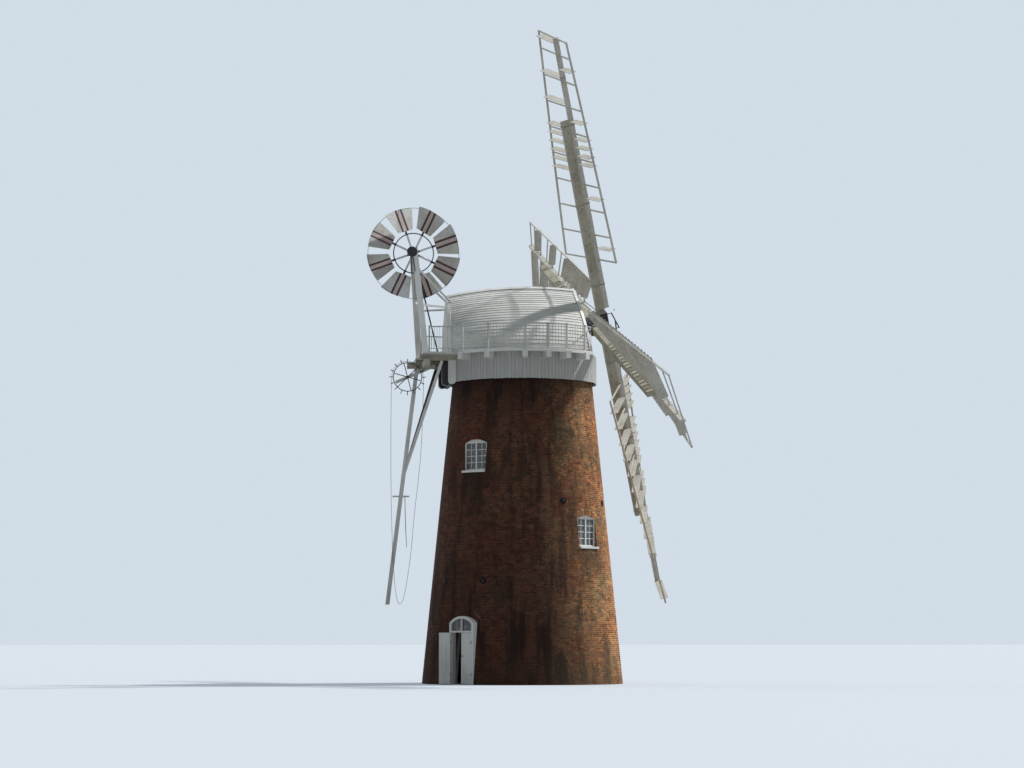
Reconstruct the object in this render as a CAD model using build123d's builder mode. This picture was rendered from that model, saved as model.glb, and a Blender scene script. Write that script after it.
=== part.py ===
"""Brick drainage windmill with a boat-shaped cap, four shuttered sails and a fantail.

The origin is on the ground at the tower's axis. +Z is up, the sails face -Y and the
fantail stands on the +Y side. All lengths are in millimetres and all angles in degrees.
"""

import os
from math import asin, cos, degrees, radians, sin, sqrt, tan

from build123d import *

os.makedirs("parts", exist_ok=True)

# Tower wall
base_radius = 3825
batter = 0.0999
wall_thickness = 470
wall_top = 11700
ground_storey_top = 3720

# Doorway
door_angle = 136
door_width = 1120
door_height = 2530
door_arch_rise = 250
casing_depth = 300
casing_bar = 90
casing_out = 20
transom_low = 1930
transom_depth = 60
fanlight_bar = 40
lintel_low = 2200
lintel_half_angle = 11

# Door leaves and their hinges
leaf_thickness = 40
leaf_side_gap = 5
leaf_middle_gap = 10
leaf_top_gap = 8
leaf_bottom = 30
hinge_offset = 15
left_leaf_open = 168
strap_length = 330
strap_width = 45
strap_thickness = 6
strap_heights = (380, 1560)
pin_radius = 6
pin_gap = 0.3
knuckle_wall = 4
knuckle_height = 60
pin_height = 100
pintle_plate = 8
pintle_reach = 32

# Windows
window_angles = (135.2, 222, 315, 42)
window_width = 1060
window_height = 1170
window_arch_rise = 150
window_bar = 60
window_depth = 90
window_reveal = 60
window_sill = 80
sill_overhang = 45
first_window_low = 5140
second_window_low = 7990
glass_thickness = 6

# Floors
slab_thickness = 60
board_thickness = 40
first_floor_top = 4010
second_floor_top = 6990
beam_width = 250
beam_depth = 250
beam_bearing = 150
first_beam_direction = 131.6
first_beam_offset = 950
second_beam_direction = 224.4
second_beam_offset = 1218
tie_plate_radius = 125
tie_plate_thickness = 25

# Curb and the timber frame of the cap
curb_height = 300
curb_inner = 2300
curb_outer = 2640
curb_gap = 0.5
ring_height = 240
ring_inner = 2280
ring_outer = 2680
sheer_spacing = 1900
sheer_width = 240
sheer_depth = 260
sheer_front = -2450
sheer_rear = 4050
neck_front = -2150
neck_thickness = 300
neck_height = 1150
tail_bearing_front = 1200
tail_bearing_thickness = 250
tail_bearing_height = 460

# Skirt and gallery
skirt_radius = 2840
skirt_thickness = 40
skirt_bottom = 11460
deck_thickness = 60
deck_inner = 2230
deck_margin = 20
gallery_radius = 3270
gallery_front = 47
gallery_rear = 54
rail_height = 950
rail_inset = 70
post_size = 60
rail_size = 45
mid_rail_size = 25
mid_rail_share = 0.12
post_angles = (-52, -31, -5.5, 10, 24, 40)
joist_width = 200
joist_depth = 260
joist_reach = 3360

# Boat-shaped shell of the cap
cap_half_width = 2350
cap_length_radius = 3385
cap_middle = 150
cap_rear = 2900
cap_front_base = -2450
cap_front_lean = 10
cap_ridge_top = 15220
cap_ridge_middle = -480
cap_ridge_radius = 14500
cap_shell = 50
cap_curve = 1.8
cap_section_steps = 4
cap_stations = (-2900, -1500, 0, 1500, 2300, cap_rear)
shaft_hole_gap = 60

# Fan stage at the rear
stage_half_width = 1650
stage_post_inset = 250
stage_rear = 4000
tail_beam_width = 200
tail_beam_depth = 240
tail_beam_front = 2700
tail_beam_rear = 4450
cross_beam_front = 3700
cross_beam_width = 200
cross_beam_reach = 1500

# Fantail
fan_y = 4220
fan_height = 16475
fan_radius = 1785
fan_blade_inner = 900
fan_blade_root = 680
fan_blade_tip = 1290
fan_blade_thickness = 18
fan_blade_pitch = -27
fan_blades_count = 8
fan_start_angle = -24.9
fan_ring_radius = 770
fan_ring_bar = 20
fan_spoke_radius = 40
fan_hub_radius = 120
fan_hub_length = 420
fan_axle_radius = 30
fan_axle_length = 1120
axle_gap = 0.3
fan_post_width = 220
fan_post_thickness = 110
fan_post_head = 130
fan_post_head_x = 450
fan_post_foot = (1400, 3870)
stay_size = 70
long_stay_top = 15865
long_stay_foot = (320, 2740, 14474)
level_stay_foot = (300, 2730, 14350)
cross_brace_size = 60
cross_brace_top = 14680
cross_brace_bottom = 14200
drive_shaft_radius = 28
drive_shaft_offset = 340
drive_shaft_foot_y = 3280
fan_gear_radius = 130
fan_gear_thickness = 50
pinion_radius = 50
pinion_thickness = 50
gear_gap = 15

# Tail pole, braces and chain wheel
pole_width = 150
pole_top_y = 4080
pole_foot_y = 5170
pole_foot_z = 2990
brace_size = 110
brace_top_y = 3200
brace_foot_z = 7900
crossbar_z = 7100
crossbar_half = 320
crossbar_size = 60
chain_wheel_y = 4460
chain_wheel_z = 11650
chain_wheel_radius = 560
chain_wheel_bar = 30
chain_wheel_spokes = 6
chain_wheel_start = 15
chain_wheel_spikes = 16
spike_length = 130
spike_radius = 12
spike_foot_gap = 3
chain_wheel_offset = 320
wheel_beam_size = 110
wheel_beam_rear_y = 4900
wheel_beam_front_y = 3390
wheel_beam_slope = 0.437
chain_radius = 11
chain_joint = 2
chain_gap = 0.3
chain_seat_step = 30
chain_hang = (
    (3900, 9200),
    (4030, 7700),
    (4180, 6500),
    (4300, 4900),
    (4540, 3300),
    (4720, 2900),
    (4900, 3350),
    (5040, 5600),
    (5090, 8400),
)
short_chain_y = 4520
short_chain_half_width = 45
short_chain_foot = (4430, 4900)
short_chain_bend = (4490, 6000)

# Sails
shaft_tilt = 15.4
sail_turn = 24.65
hub_y = -2955
hub_z = 13810
stock_offset = 195
stock_width = 340
stock_tip_width = 210
stock_depth = 300
stock_reach = 8250
whip_width = 200
whip_tip_width = 90
whip_depth = 200
bar_cover = 80
whip_start = 620
sail_radius = 11450
sail_bay = 1021
sail_bays = 8
tip_bay = 680
lead_width = 1050
trail_width = 1810
weather_tip = 7.2
weather_heel = 28.5
bar_width = 60
bar_thickness = 38
hemlath_width = 45
hemlath_depth = 70
shutter_chord = 300
shutter_thickness = 18
shutter_end_gap = 40
shutter_root_gap = 15
shutter_pin_radius = 9
shutter_pin_gap = 0.8
windshaft_radius = 170
windshaft_tail_y = 1500
shaft_gap = 0.3
poll_wall = 60
poll_reach = 460

# Striking gear in front of the hub
spider_out = 710
spider_reach = 480
spider_bar = 26
striking_rod_radius = 28
crank_pivot = (1090, 185)
crank_head = (1220, 478)
crank_foot = (510, 340)
crank_side = 150
link_radius = 14
joint_radius = 20
whip_taper = 1
heel_gap = 2

# Levels and radii that follow from the sizes above
curb_top = wall_top + curb_height
ring_low = curb_top + curb_gap
ring_high = ring_low + ring_height
deck_top = ring_high + sheer_depth
deck_low = deck_top - deck_thickness
casing_face = sqrt(base_radius**2 - (door_width / 2) ** 2) + casing_out
rail_radius = gallery_radius - rail_inset
hub = Vector(0, hub_y, hub_z)
shaft_direction = Vector(0, -cos(radians(shaft_tilt)), sin(radians(shaft_tilt)))
bar_level = stock_depth / 2 + whip_depth - bar_cover


def wall_radius(height):
    """Radius of the brick wall's outer face at a height."""
    return base_radius - batter * height


def write_piece(piece, name):
    """Label a finished piece and write its file."""
    piece.part.label = name
    export_step(piece.part, f"parts/{name}.step")


def radial_plane(angle):
    """Upright plane through the tower's axis, with local x outwards and local y up."""
    a = radians(angle)
    return Plane(origin=(0, 0, 0), x_dir=(cos(a), sin(a), 0), z_dir=(sin(a), -cos(a), 0))


def face_plane(angle, distance, height):
    """Upright plane that faces outwards, at a distance from the tower's axis."""
    a = radians(angle)
    origin = (distance * cos(a), distance * sin(a), height)
    return Plane(origin=origin, x_dir=(-sin(a), cos(a), 0), z_dir=(cos(a), sin(a), 0))


def revolve_profile(points, start, sweep, mode=Mode.ADD):
    """Revolve an outline of (radius, height) points about the tower's axis."""
    with BuildSketch(radial_plane(start)) as profile:
        Polygon(*points, align=None)
    revolve(profile.sketch, axis=Axis.Z, revolution_arc=sweep, mode=mode)


def ring_profile(inner, outer, low, high):
    """Corner points of a plain ring's section."""
    return [(inner, low), (outer, low), (outer, high), (inner, high)]


def wall_profile(low, high):
    """Corner points of the leaning wall's section."""
    return [
        (wall_radius(low) - wall_thickness, low),
        (wall_radius(low), low),
        (wall_radius(high), high),
        (wall_radius(high) - wall_thickness, high),
    ]


def arched_face(width, height, rise, bottom=0, mode=Mode.ADD):
    """Opening outline with upright sides and a segmental arch, standing on its bottom."""
    with BuildLine() as outline:
        side = height - rise
        Polyline((-width / 2, side), (-width / 2, bottom), (width / 2, bottom), (width / 2, side))
        ThreePointArc((width / 2, side), (0, height), (-width / 2, side))
    make_face(outline.edges(), mode=mode)


def inner_rise(width, rise, inset):
    """Rise of the arch that runs a constant inset inside another arch."""
    arch_radius = width**2 / (8 * rise) + rise / 2 - inset
    half = width / 2 - inset
    return arch_radius - sqrt(arch_radius**2 - half**2)


def strut(start, end, width, depth, side=(1, 0, 0)):
    """Straight rectangular timber from one point to another."""
    run = Vector(*end) - Vector(*start)
    with BuildSketch(Plane(origin=start, x_dir=side, z_dir=run)) as section:
        Rectangle(width, depth)
    extrude(section.sketch, amount=run.length)


def rod(start, end, radius):
    """Straight round bar from one point to another."""
    run = Vector(*end) - Vector(*start)
    with BuildSketch(Plane(origin=start, z_dir=run)) as section:
        Circle(radius)
    extrude(section.sketch, amount=run.length)


def box_between(low, high, mode=Mode.ADD):
    """Box between two opposite corners."""
    middle = [(a + b) / 2 for a, b in zip(low, high)]
    size = [b - a for a, b in zip(low, high)]
    with Locations(tuple(middle)):
        Box(*size, mode=mode)


# Brick wall of the ground storey: three segments and the piece over the doorway
def cut_doorway():
    with BuildSketch(face_plane(door_angle, base_radius - 2 * wall_thickness, 0)) as opening:
        arched_face(door_width, door_height, door_arch_rise)
    extrude(opening.sketch, amount=3 * wall_thickness, mode=Mode.SUBTRACT)


lintel_profile = wall_profile(lintel_low, ground_storey_top)
lintel_start = door_angle - lintel_half_angle

for number in range(3):
    with BuildPart() as wall_base:
        revolve_profile(wall_profile(0, ground_storey_top), door_angle + 120 * number, 120)
        cut_doorway()
        revolve_profile(lintel_profile, lintel_start, 2 * lintel_half_angle, mode=Mode.SUBTRACT)
    write_piece(wall_base, f"wall_base_{number + 1}")

with BuildPart() as wall_over_door:
    revolve_profile(lintel_profile, lintel_start, 2 * lintel_half_angle)
    cut_doorway()
write_piece(wall_over_door, "wall_over_door")

# Floor beams, in two pairs that cross each other
window_lows = (second_window_low, first_window_low, second_window_low, first_window_low)
first_beam_low = first_floor_top - board_thickness - beam_depth
second_beam_low = second_floor_top - board_thickness - beam_depth


def beam_pair(direction, offset, low, mode=Mode.ADD):
    """Two beams that run across the tower and bear in its wall."""
    inner = wall_radius(low + beam_depth) - wall_thickness
    length = 2 * (sqrt(inner**2 - offset**2) + beam_bearing)
    a = radians(direction)
    plane = Plane(origin=(0, 0, low), x_dir=(cos(a), sin(a), 0), z_dir=(0, 0, 1))
    with BuildSketch(plane) as pair:
        with Locations((0, offset), (0, -offset)):
            Rectangle(length, beam_width)
    extrude(pair.sketch, amount=beam_depth, mode=mode)


def floor_beam_pairs(mode=Mode.ADD):
    beam_pair(first_beam_direction, first_beam_offset, first_beam_low, mode)
    beam_pair(second_beam_direction, second_beam_offset, second_beam_low, mode)


with BuildPart() as floor_beams:
    floor_beam_pairs()
write_piece(floor_beams, "floor_beams")


# Brick wall above the ground storey: four segments with a window in each
def window_face(low):
    """Distance of a window's outer face from the tower's axis."""
    return wall_radius(low + window_height) - window_reveal


for number, angle in enumerate(window_angles):
    low = window_lows[number]
    with BuildPart() as wall_upper:
        start = door_angle - 45 + 90 * number
        revolve_profile(wall_profile(ground_storey_top, wall_top), start, 90)
        with BuildSketch(face_plane(angle, wall_radius(low) - 2 * wall_thickness, low)):
            arched_face(window_width, window_height, window_arch_rise, bottom=-window_sill)
        extrude(amount=3 * wall_thickness, mode=Mode.SUBTRACT)
        floor_beam_pairs(mode=Mode.SUBTRACT)
    write_piece(wall_upper, f"wall_upper_{number + 1}")

# Floors
with BuildPart() as ground_floor:
    inner = wall_radius(0) - wall_thickness
    top_inner = wall_radius(slab_thickness) - wall_thickness
    revolve_profile([(0, 0), (inner, 0), (top_inner, slab_thickness), (0, slab_thickness)], 0, 360)
write_piece(ground_floor, "ground_floor")

for name, top in (("first_floor", first_floor_top), ("second_floor", second_floor_top)):
    with BuildPart() as floor:
        low = top - board_thickness
        low_inner = wall_radius(low) - wall_thickness
        top_inner = wall_radius(top) - wall_thickness
        revolve_profile([(0, low), (low_inner, low), (top_inner, top), (0, top)], 0, 360)
    write_piece(floor, name)


# Iron tie plates on the outside, at the ends of the floor beams
def tie_plate(angle, height):
    lean = degrees(asin(batter / sqrt(1 + batter**2)))
    a = radians(angle)
    up = radians(lean)
    normal = (cos(a) * cos(up), sin(a) * cos(up), sin(up))
    surface = wall_radius(height)
    plane = Plane(origin=(surface * cos(a), surface * sin(a), height), z_dir=normal)
    with BuildSketch(plane) as disc:
        Circle(tie_plate_radius)
    extrude(disc.sketch, amount=tie_plate_thickness)


def plate_angles(direction, offset, height):
    spread = degrees(asin(offset / wall_radius(height)))
    return [direction + turn + side * spread for turn in (0, 180) for side in (-1, 1)]


with BuildPart() as tie_plates:
    for direction, offset, low in (
        (first_beam_direction, first_beam_offset, first_beam_low),
        (second_beam_direction, second_beam_offset, second_beam_low),
    ):
        height = low + beam_depth / 2
        for angle in plate_angles(direction, offset, height):
            tie_plate(angle, height)
write_piece(tie_plates, "tie_plates")

# Window frames with their sills, and the glass
light_width = window_width - 2 * window_bar
light_height = window_height - window_arch_rise - window_bar

with BuildPart() as window_frames:
    for angle, low in zip(window_angles, window_lows):
        face = window_face(low)
        with BuildSketch(face_plane(angle, face - window_depth, low)):
            arched_face(window_width, window_height, window_arch_rise)
            with Locations((0, window_bar)):
                low_edge = (Align.CENTER, Align.MIN)
                Rectangle(light_width, light_height, align=low_edge, mode=Mode.SUBTRACT)
                Rectangle(window_bar, light_height, align=low_edge)
        extrude(amount=window_depth)
        sill_depth = wall_radius(low) + sill_overhang - face + window_depth
        with BuildSketch(face_plane(angle, face - window_depth, low - window_sill)):
            Rectangle(window_width, window_sill, align=(Align.CENTER, Align.MIN))
        extrude(amount=sill_depth)
write_piece(window_frames, "window_frames")

with BuildPart() as window_glass:
    for angle, low in zip(window_angles, window_lows):
        pane = window_face(low) - window_depth / 2
        with BuildSketch(face_plane(angle, pane, low)):
            with Locations((0, window_bar)):
                Rectangle(light_width, light_height, align=low_edge)
                Rectangle(window_bar, light_height, align=low_edge, mode=Mode.SUBTRACT)
        extrude(amount=glass_thickness)
write_piece(window_glass, "window_glass")

# Door casing with its fanlight
casing_rise = inner_rise(door_width, door_arch_rise, casing_bar)
opening_width = door_width - 2 * casing_bar
fanlight_low = transom_low + transom_depth
fanlight_high = door_height - casing_bar

with BuildPart() as door_casing:
    with BuildSketch(face_plane(door_angle, casing_face - casing_depth, 0)):
        arched_face(door_width, door_height, door_arch_rise)
        with Locations((0, 0)):
            Rectangle(
                opening_width, transom_low, align=(Align.CENTER, Align.MIN), mode=Mode.SUBTRACT
            )
        arched_face(opening_width, fanlight_high, casing_rise, fanlight_low, Mode.SUBTRACT)
        with Locations((0, fanlight_low)):
            Rectangle(
                fanlight_bar, fanlight_high - fanlight_low, align=(Align.CENTER, Align.MIN)
            )
    extrude(amount=casing_depth)
write_piece(door_casing, "door_casing")

with BuildPart() as fanlight_glass:
    with BuildSketch(face_plane(door_angle, casing_face - casing_depth / 4, 0)):
        arched_face(opening_width, fanlight_high, casing_rise, fanlight_low)
        with Locations((0, fanlight_low)):
            Rectangle(
                fanlight_bar, door_height, align=(Align.CENTER, Align.MIN), mode=Mode.SUBTRACT
            )
    extrude(amount=glass_thickness)
write_piece(fanlight_glass, "fanlight_glass")

# Door leaves, strap hinges and pintles. Side -1 is the left leaf as seen from outside.
leaf_width = opening_width / 2 - leaf_side_gap - leaf_middle_gap / 2
leaf_height = transom_low - leaf_top_gap - leaf_bottom
hinge_distance = casing_face + hinge_offset
knuckle_radius = pin_radius + pin_gap + knuckle_wall


def hinge_axis(side):
    """Upright axis of a leaf, on the casing's outer face beside the opening."""
    plane = face_plane(door_angle, hinge_distance, 0)
    start = plane.from_local_coords((side * opening_width / 2, 0, 0))
    return Axis((start.X, start.Y, 0), (0, 0, 1))


def swung(part, side, angle):
    """The part turned about its leaf's axis."""
    return part.rotate(hinge_axis(side), angle)


leaf_turns = {-1: left_leaf_open, 1: 0}
for side, name in ((-1, "left"), (1, "right")):
    with BuildPart() as closed_leaf:
        with BuildSketch(face_plane(door_angle, casing_face - leaf_thickness, leaf_bottom)):
            centre = side * (opening_width / 2 - leaf_side_gap - leaf_width / 2)
            with Locations((centre, leaf_height / 2)):
                Rectangle(leaf_width, leaf_height)
        extrude(amount=leaf_thickness)
    with BuildPart() as door_leaf:
        add(swung(closed_leaf.part, side, -side * -leaf_turns[side]))
    write_piece(door_leaf, f"door_leaf_{name}")

    with BuildPart() as closed_straps:
        for height in strap_heights:
            with BuildSketch(face_plane(door_angle, casing_face, height)):
                with Locations((side * (opening_width / 2 - leaf_side_gap - strap_length / 2), 0)):
                    Rectangle(strap_length, strap_width)
            extrude(amount=strap_thickness)
            with BuildSketch(face_plane(door_angle, casing_face, height)):
                reach = leaf_side_gap + knuckle_radius
                with Locations((side * (opening_width / 2 - reach / 2), 0)):
                    Rectangle(reach, strap_width)
            extrude(amount=hinge_offset + knuckle_radius / 2)
            axis = hinge_axis(side)
            plane = Plane(origin=(axis.position.X, axis.position.Y, height - knuckle_height / 2))
            with BuildSketch(plane):
                Circle(knuckle_radius)
            extrude(amount=knuckle_height)
            with BuildSketch(plane):
                Circle(pin_radius + pin_gap)
            extrude(amount=knuckle_height, mode=Mode.SUBTRACT)
    with BuildPart() as door_straps:
        add(swung(closed_straps.part, side, -side * -leaf_turns[side]))
    write_piece(door_straps, f"door_straps_{name}")

with BuildPart() as door_pintles:
    for side in (-1, 1):
        axis = hinge_axis(side)
        for height in strap_heights:
            foot = height - knuckle_height / 2 - pintle_plate - pin_gap
            with BuildSketch(Plane(origin=(axis.position.X, axis.position.Y, foot))):
                Circle(pin_radius)
            extrude(amount=pin_height)
            with BuildSketch(face_plane(door_angle, casing_face, foot)):
                with Locations((side * (opening_width / 2 + pintle_reach / 2), 0)):
                    Rectangle(pintle_reach, pintle_plate, align=(Align.CENTER, Align.MIN))
            extrude(amount=hinge_offset + knuckle_radius)
            with BuildSketch(Plane(origin=(axis.position.X, axis.position.Y, foot))):
                Circle(knuckle_radius)
            extrude(amount=pintle_plate)
write_piece(door_pintles, "door_pintles")

# Curb that the cap turns on
with BuildPart() as curb:
    revolve_profile(ring_profile(curb_inner, curb_outer, wall_top, curb_top), 0, 360)
write_piece(curb, "curb")

# Windshaft line
shaft_start = hub - shaft_direction * ((windshaft_tail_y - hub_y) / cos(radians(shaft_tilt)))
shaft_plane = Plane(origin=shaft_start, z_dir=shaft_direction)


def shaft_bore(radius, length):
    """Round hole along the windshaft."""
    with BuildSketch(shaft_plane) as bore:
        Circle(radius)
    extrude(bore.sketch, amount=length, mode=Mode.SUBTRACT)


shaft_length = (hub - shaft_start).length
sheer_x = sheer_spacing / 2

# Timber frame of the cap: ring, sheers and the two windshaft bearings
with BuildPart() as cap_frame:
    revolve_profile(ring_profile(ring_inner, ring_outer, ring_low, ring_high), 0, 360)
    for side in (-1, 1):
        low = (side * sheer_x - sheer_width / 2, sheer_front, ring_high)
        high = (side * sheer_x + sheer_width / 2, sheer_rear, deck_top)
        box_between(low, high)
    reach = sheer_x + sheer_width / 2
    box_between(
        (-reach, neck_front, deck_top - sheer_depth / 2),
        (reach, neck_front + neck_thickness, deck_top + neck_height),
    )
    box_between(
        (-reach, tail_bearing_front, ring_high),
        (reach, tail_bearing_front + tail_bearing_thickness, deck_top + tail_bearing_height),
    )
    shaft_bore(windshaft_radius + shaft_gap, shaft_length)
write_piece(cap_frame, "cap_frame")

# Fan stage: tail beam and cross beam under the sheers, with boards between them
with BuildPart() as fan_stage:
    box_between(
        (-tail_beam_width / 2, tail_beam_front, ring_high - tail_beam_depth),
        (tail_beam_width / 2, tail_beam_rear, ring_high),
    )
    box_between(
        (-cross_beam_reach, cross_beam_front, ring_high - tail_beam_depth),
        (cross_beam_reach, cross_beam_front + cross_beam_width, ring_high),
    )
write_piece(fan_stage, "fan_stage")

# Skirt of upright boards round the top of the tower
with BuildPart() as skirt:
    profile = ring_profile(skirt_radius - skirt_thickness, skirt_radius, skirt_bottom, deck_low)
    revolve_profile(profile, 0, 360)
    add(cap_frame.part, mode=Mode.SUBTRACT)
    add(fan_stage.part, mode=Mode.SUBTRACT)
write_piece(skirt, "skirt")

# Gallery deck: a ring over the skirt, a walk on either side and the boards of the fan stage
walk_starts = (180 - gallery_rear, -gallery_front)
walk_sweep = gallery_front + gallery_rear

with BuildPart() as gallery_deck:
    deck_edge = skirt_radius + deck_margin
    revolve_profile(ring_profile(deck_inner, deck_edge, deck_low, deck_top), 0, 360)
    for start in walk_starts:
        walk = ring_profile(deck_inner, gallery_radius, deck_low, deck_top)
        revolve_profile(walk, start, walk_sweep)
    box_between(
        (-stage_half_width, deck_inner, deck_low), (stage_half_width, stage_rear, deck_top)
    )
    add(cap_frame.part, mode=Mode.SUBTRACT)
write_piece(gallery_deck, "gallery_deck")


# Joists under the gallery and the railing on top of it
def gallery_angles():
    return [180 + angle for angle in post_angles] + [-angle for angle in post_angles]


with BuildPart() as gallery_joists:
    for angle in gallery_angles():
        with BuildSketch(face_plane(angle, skirt_radius, deck_low - joist_depth / 2)):
            Rectangle(joist_width, joist_depth)
        extrude(amount=joist_reach - skirt_radius)
write_piece(gallery_joists, "gallery_joists")

stage_post_x = stage_half_width - post_size
stage_post_y = stage_rear - stage_post_inset

with BuildPart() as gallery_rail:
    for angle in gallery_angles():
        with BuildSketch(face_plane(angle, rail_radius - post_size / 2, deck_top)):
            Rectangle(post_size, rail_height, align=(Align.CENTER, Align.MIN))
        extrude(amount=post_size)
    for height, size in ((rail_height, rail_size), (rail_height * mid_rail_share, mid_rail_size)):
        low = deck_top + height - size / 2
        for start in walk_starts:
            profile = ring_profile(rail_radius - size / 2, rail_radius + size / 2, low, low + size)
            revolve_profile(profile, start, walk_sweep)
        for side in (-1, 1):
            corner = (
                side * rail_radius * cos(radians(gallery_rear)),
                rail_radius * sin(radians(gallery_rear)),
                low + size / 2,
            )
            stage_corner = (side * stage_post_x, stage_post_y, low + size / 2)
            strut(corner, stage_corner, size, size, side=(0, 0, 1))
    for side in (-1, 1):
        low = (side * stage_post_x - post_size / 2, stage_post_y - post_size / 2, deck_top)
        high = (
            side * stage_post_x + post_size / 2,
            stage_post_y + post_size / 2,
            deck_top + rail_height + rail_size / 2,
        )
        box_between(low, high)
write_piece(gallery_rail, "gallery_rail")


# Boat-shaped shell of the cap
def cap_width(y, inset):
    """Half-width of the shell at its base."""
    return (cap_half_width - inset) * sqrt(1 - ((y - cap_middle) / (cap_length_radius - inset)) ** 2)


def ridge_height(y, inset):
    """Height of the ridge above the deck, on a large arc."""
    drop = cap_ridge_radius - sqrt(cap_ridge_radius**2 - (y - cap_ridge_middle) ** 2)
    return cap_ridge_top - deck_top - drop - inset


def cap_section(y, inset):
    """Section of the shell across the cap, pointed at the ridge."""
    width = cap_width(y, inset)
    height = ridge_height(y, inset)
    rise = [step / cap_section_steps for step in range(cap_section_steps + 1)]
    right = [(width * (1 - share**cap_curve), height * share) for share in rise]
    left = [(-x, z) for x, z in reversed(right)]
    plane = Plane(origin=(0, y, deck_top), x_dir=(1, 0, 0), z_dir=(0, -1, 0))
    with BuildSketch(plane) as section:
        with BuildLine():
            Spline(*right)
            Spline(*left)
            Line(left[-1], right[0])
        make_face()
    return section.sketch


with BuildPart() as cap_outside:
    loft([cap_section(station, 0) for station in cap_stations])

with BuildPart() as cap_inside:
    loft([cap_section(station, cap_shell) for station in cap_stations])

lean = radians(cap_front_lean)
front_plane = Plane(
    origin=(0, cap_front_base, deck_top), x_dir=(1, 0, 0), z_dir=(0, -cos(lean), sin(lean))
)

for side, name in ((-1, "left"), (1, "right")):
    with BuildPart() as cap_side:
        add(cap_outside.part)
        add(cap_inside.part, mode=Mode.SUBTRACT)
        split(bisect_by=front_plane, keep=Keep.BOTTOM)
        split(bisect_by=Plane.YZ, keep=Keep.TOP if side > 0 else Keep.BOTTOM)
    write_piece(cap_side, f"cap_side_{name}")

with BuildPart() as cap_front:
    add(cap_inside.part)
    split(bisect_by=front_plane, keep=Keep.BOTTOM)
    split(bisect_by=front_plane.offset(-cap_shell), keep=Keep.TOP)
    shaft_bore(windshaft_radius + shaft_hole_gap, shaft_length)
write_piece(cap_front, "cap_front")

with BuildPart() as cap_rear_board:
    add(cap_inside.part)
    split(bisect_by=Plane.XZ.offset(-cap_rear + cap_shell), keep=Keep.BOTTOM)
write_piece(cap_rear_board, "cap_rear_board")

# Posts that carry the fantail
fan_centre = Vector(0, fan_y, fan_height)
post_head_z = fan_height + fan_post_head
post_foot_x, post_foot_y = fan_post_foot


def post_point(side, height):
    """Point on the middle line of a fan post, which leans in towards its head."""
    share = (height - deck_top) / (post_head_z - deck_top)
    x = post_foot_x + share * (fan_post_head_x - post_foot_x)
    return side * x, post_foot_y + share * (fan_y - post_foot_y), height


with BuildPart() as fan_posts:
    for side in (-1, 1):
        ends = []
        for height in (deck_top, post_head_z):
            with BuildSketch(Plane(origin=post_point(side, height))) as end:
                Rectangle(fan_post_thickness, fan_post_width)
            ends.append(end.sketch)
        loft(ends, ruled=True)
    with Locations(Plane(origin=fan_centre, z_dir=(1, 0, 0))):
        Cylinder(fan_axle_radius + axle_gap, 2 * fan_axle_length, mode=Mode.SUBTRACT)
write_piece(fan_posts, "fan_posts")

# Stays from the posts to the back of the cap, and the crossed braces between the posts
with BuildPart() as fan_stays:
    for side in (-1, 1):
        for top, (foot_x, foot_y, foot_z) in (
            (long_stay_top, long_stay_foot),
            (level_stay_foot[2], level_stay_foot),
        ):
            strut(post_point(side, top), (side * foot_x, foot_y, foot_z), stay_size, stay_size)
        low, high = post_point(-side, cross_brace_bottom), post_point(side, cross_brace_top)
        strut(low, high, cross_brace_size, cross_brace_size, side=(0, 1, 0))
    add(fan_posts.part, mode=Mode.SUBTRACT)
    add(cap_outside.part, mode=Mode.SUBTRACT)
write_piece(fan_stays, "fan_stays")

# Drive shaft from the fantail down to the gallery
with BuildPart() as fan_drive_shaft:
    head = Vector(-drive_shaft_offset, fan_y, fan_height - fan_gear_radius - gear_gap)
    foot = Vector(-drive_shaft_offset, drive_shaft_foot_y, deck_top)
    run = (foot - head).normalized()
    pinion_low = head + run * pinion_thickness
    rod(head, foot + run * drive_shaft_radius, drive_shaft_radius)
    rod(head, pinion_low, pinion_radius)
    add(gallery_deck.part, mode=Mode.SUBTRACT)
write_piece(fan_drive_shaft, "fan_drive_shaft")

# Tail pole and the braces that steady it
pole_top_z = ring_high - tail_beam_depth


def pole_y(height):
    """Middle of the leaning tail pole at a height."""
    share = (pole_top_z - height) / (pole_top_z - pole_foot_z)
    return pole_top_y + share * (pole_foot_y - pole_top_y)


with BuildPart() as tail_pole:
    half = pole_width / 2
    with BuildSketch(Plane.YZ):
        Polygon(
            (pole_top_y - half, pole_top_z),
            (pole_top_y + half, pole_top_z),
            (pole_foot_y + half, pole_foot_z),
            (pole_foot_y - half, pole_foot_z),
            align=None,
        )
    extrude(amount=half, both=True)
    crossbar_y = pole_y(crossbar_z)
    box_between(
        (-crossbar_size / 2, crossbar_y - crossbar_half, crossbar_z - crossbar_size / 2),
        (crossbar_size / 2, crossbar_y + crossbar_half, crossbar_z + crossbar_size / 2),
    )
write_piece(tail_pole, "tail_pole")

with BuildPart() as tail_braces:
    for side in (-1, 1):
        top = (side * sheer_x, brace_top_y, ring_high)
        foot = (0, pole_y(brace_foot_z), brace_foot_z)
        strut(top, foot, brace_size, brace_size)
    split(bisect_by=Plane.XY.offset(ring_high), keep=Keep.BOTTOM)
    add(tail_pole.part, mode=Mode.SUBTRACT)
    add(fan_stage.part, mode=Mode.SUBTRACT)
write_piece(tail_braces, "tail_braces")

# Chain wheel on its sloping beam beside the tail pole
beam_x = -(pole_width / 2 + wheel_beam_size / 2)


def wheel_beam_z(y):
    return chain_wheel_z - wheel_beam_slope * (y - chain_wheel_y)


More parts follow.
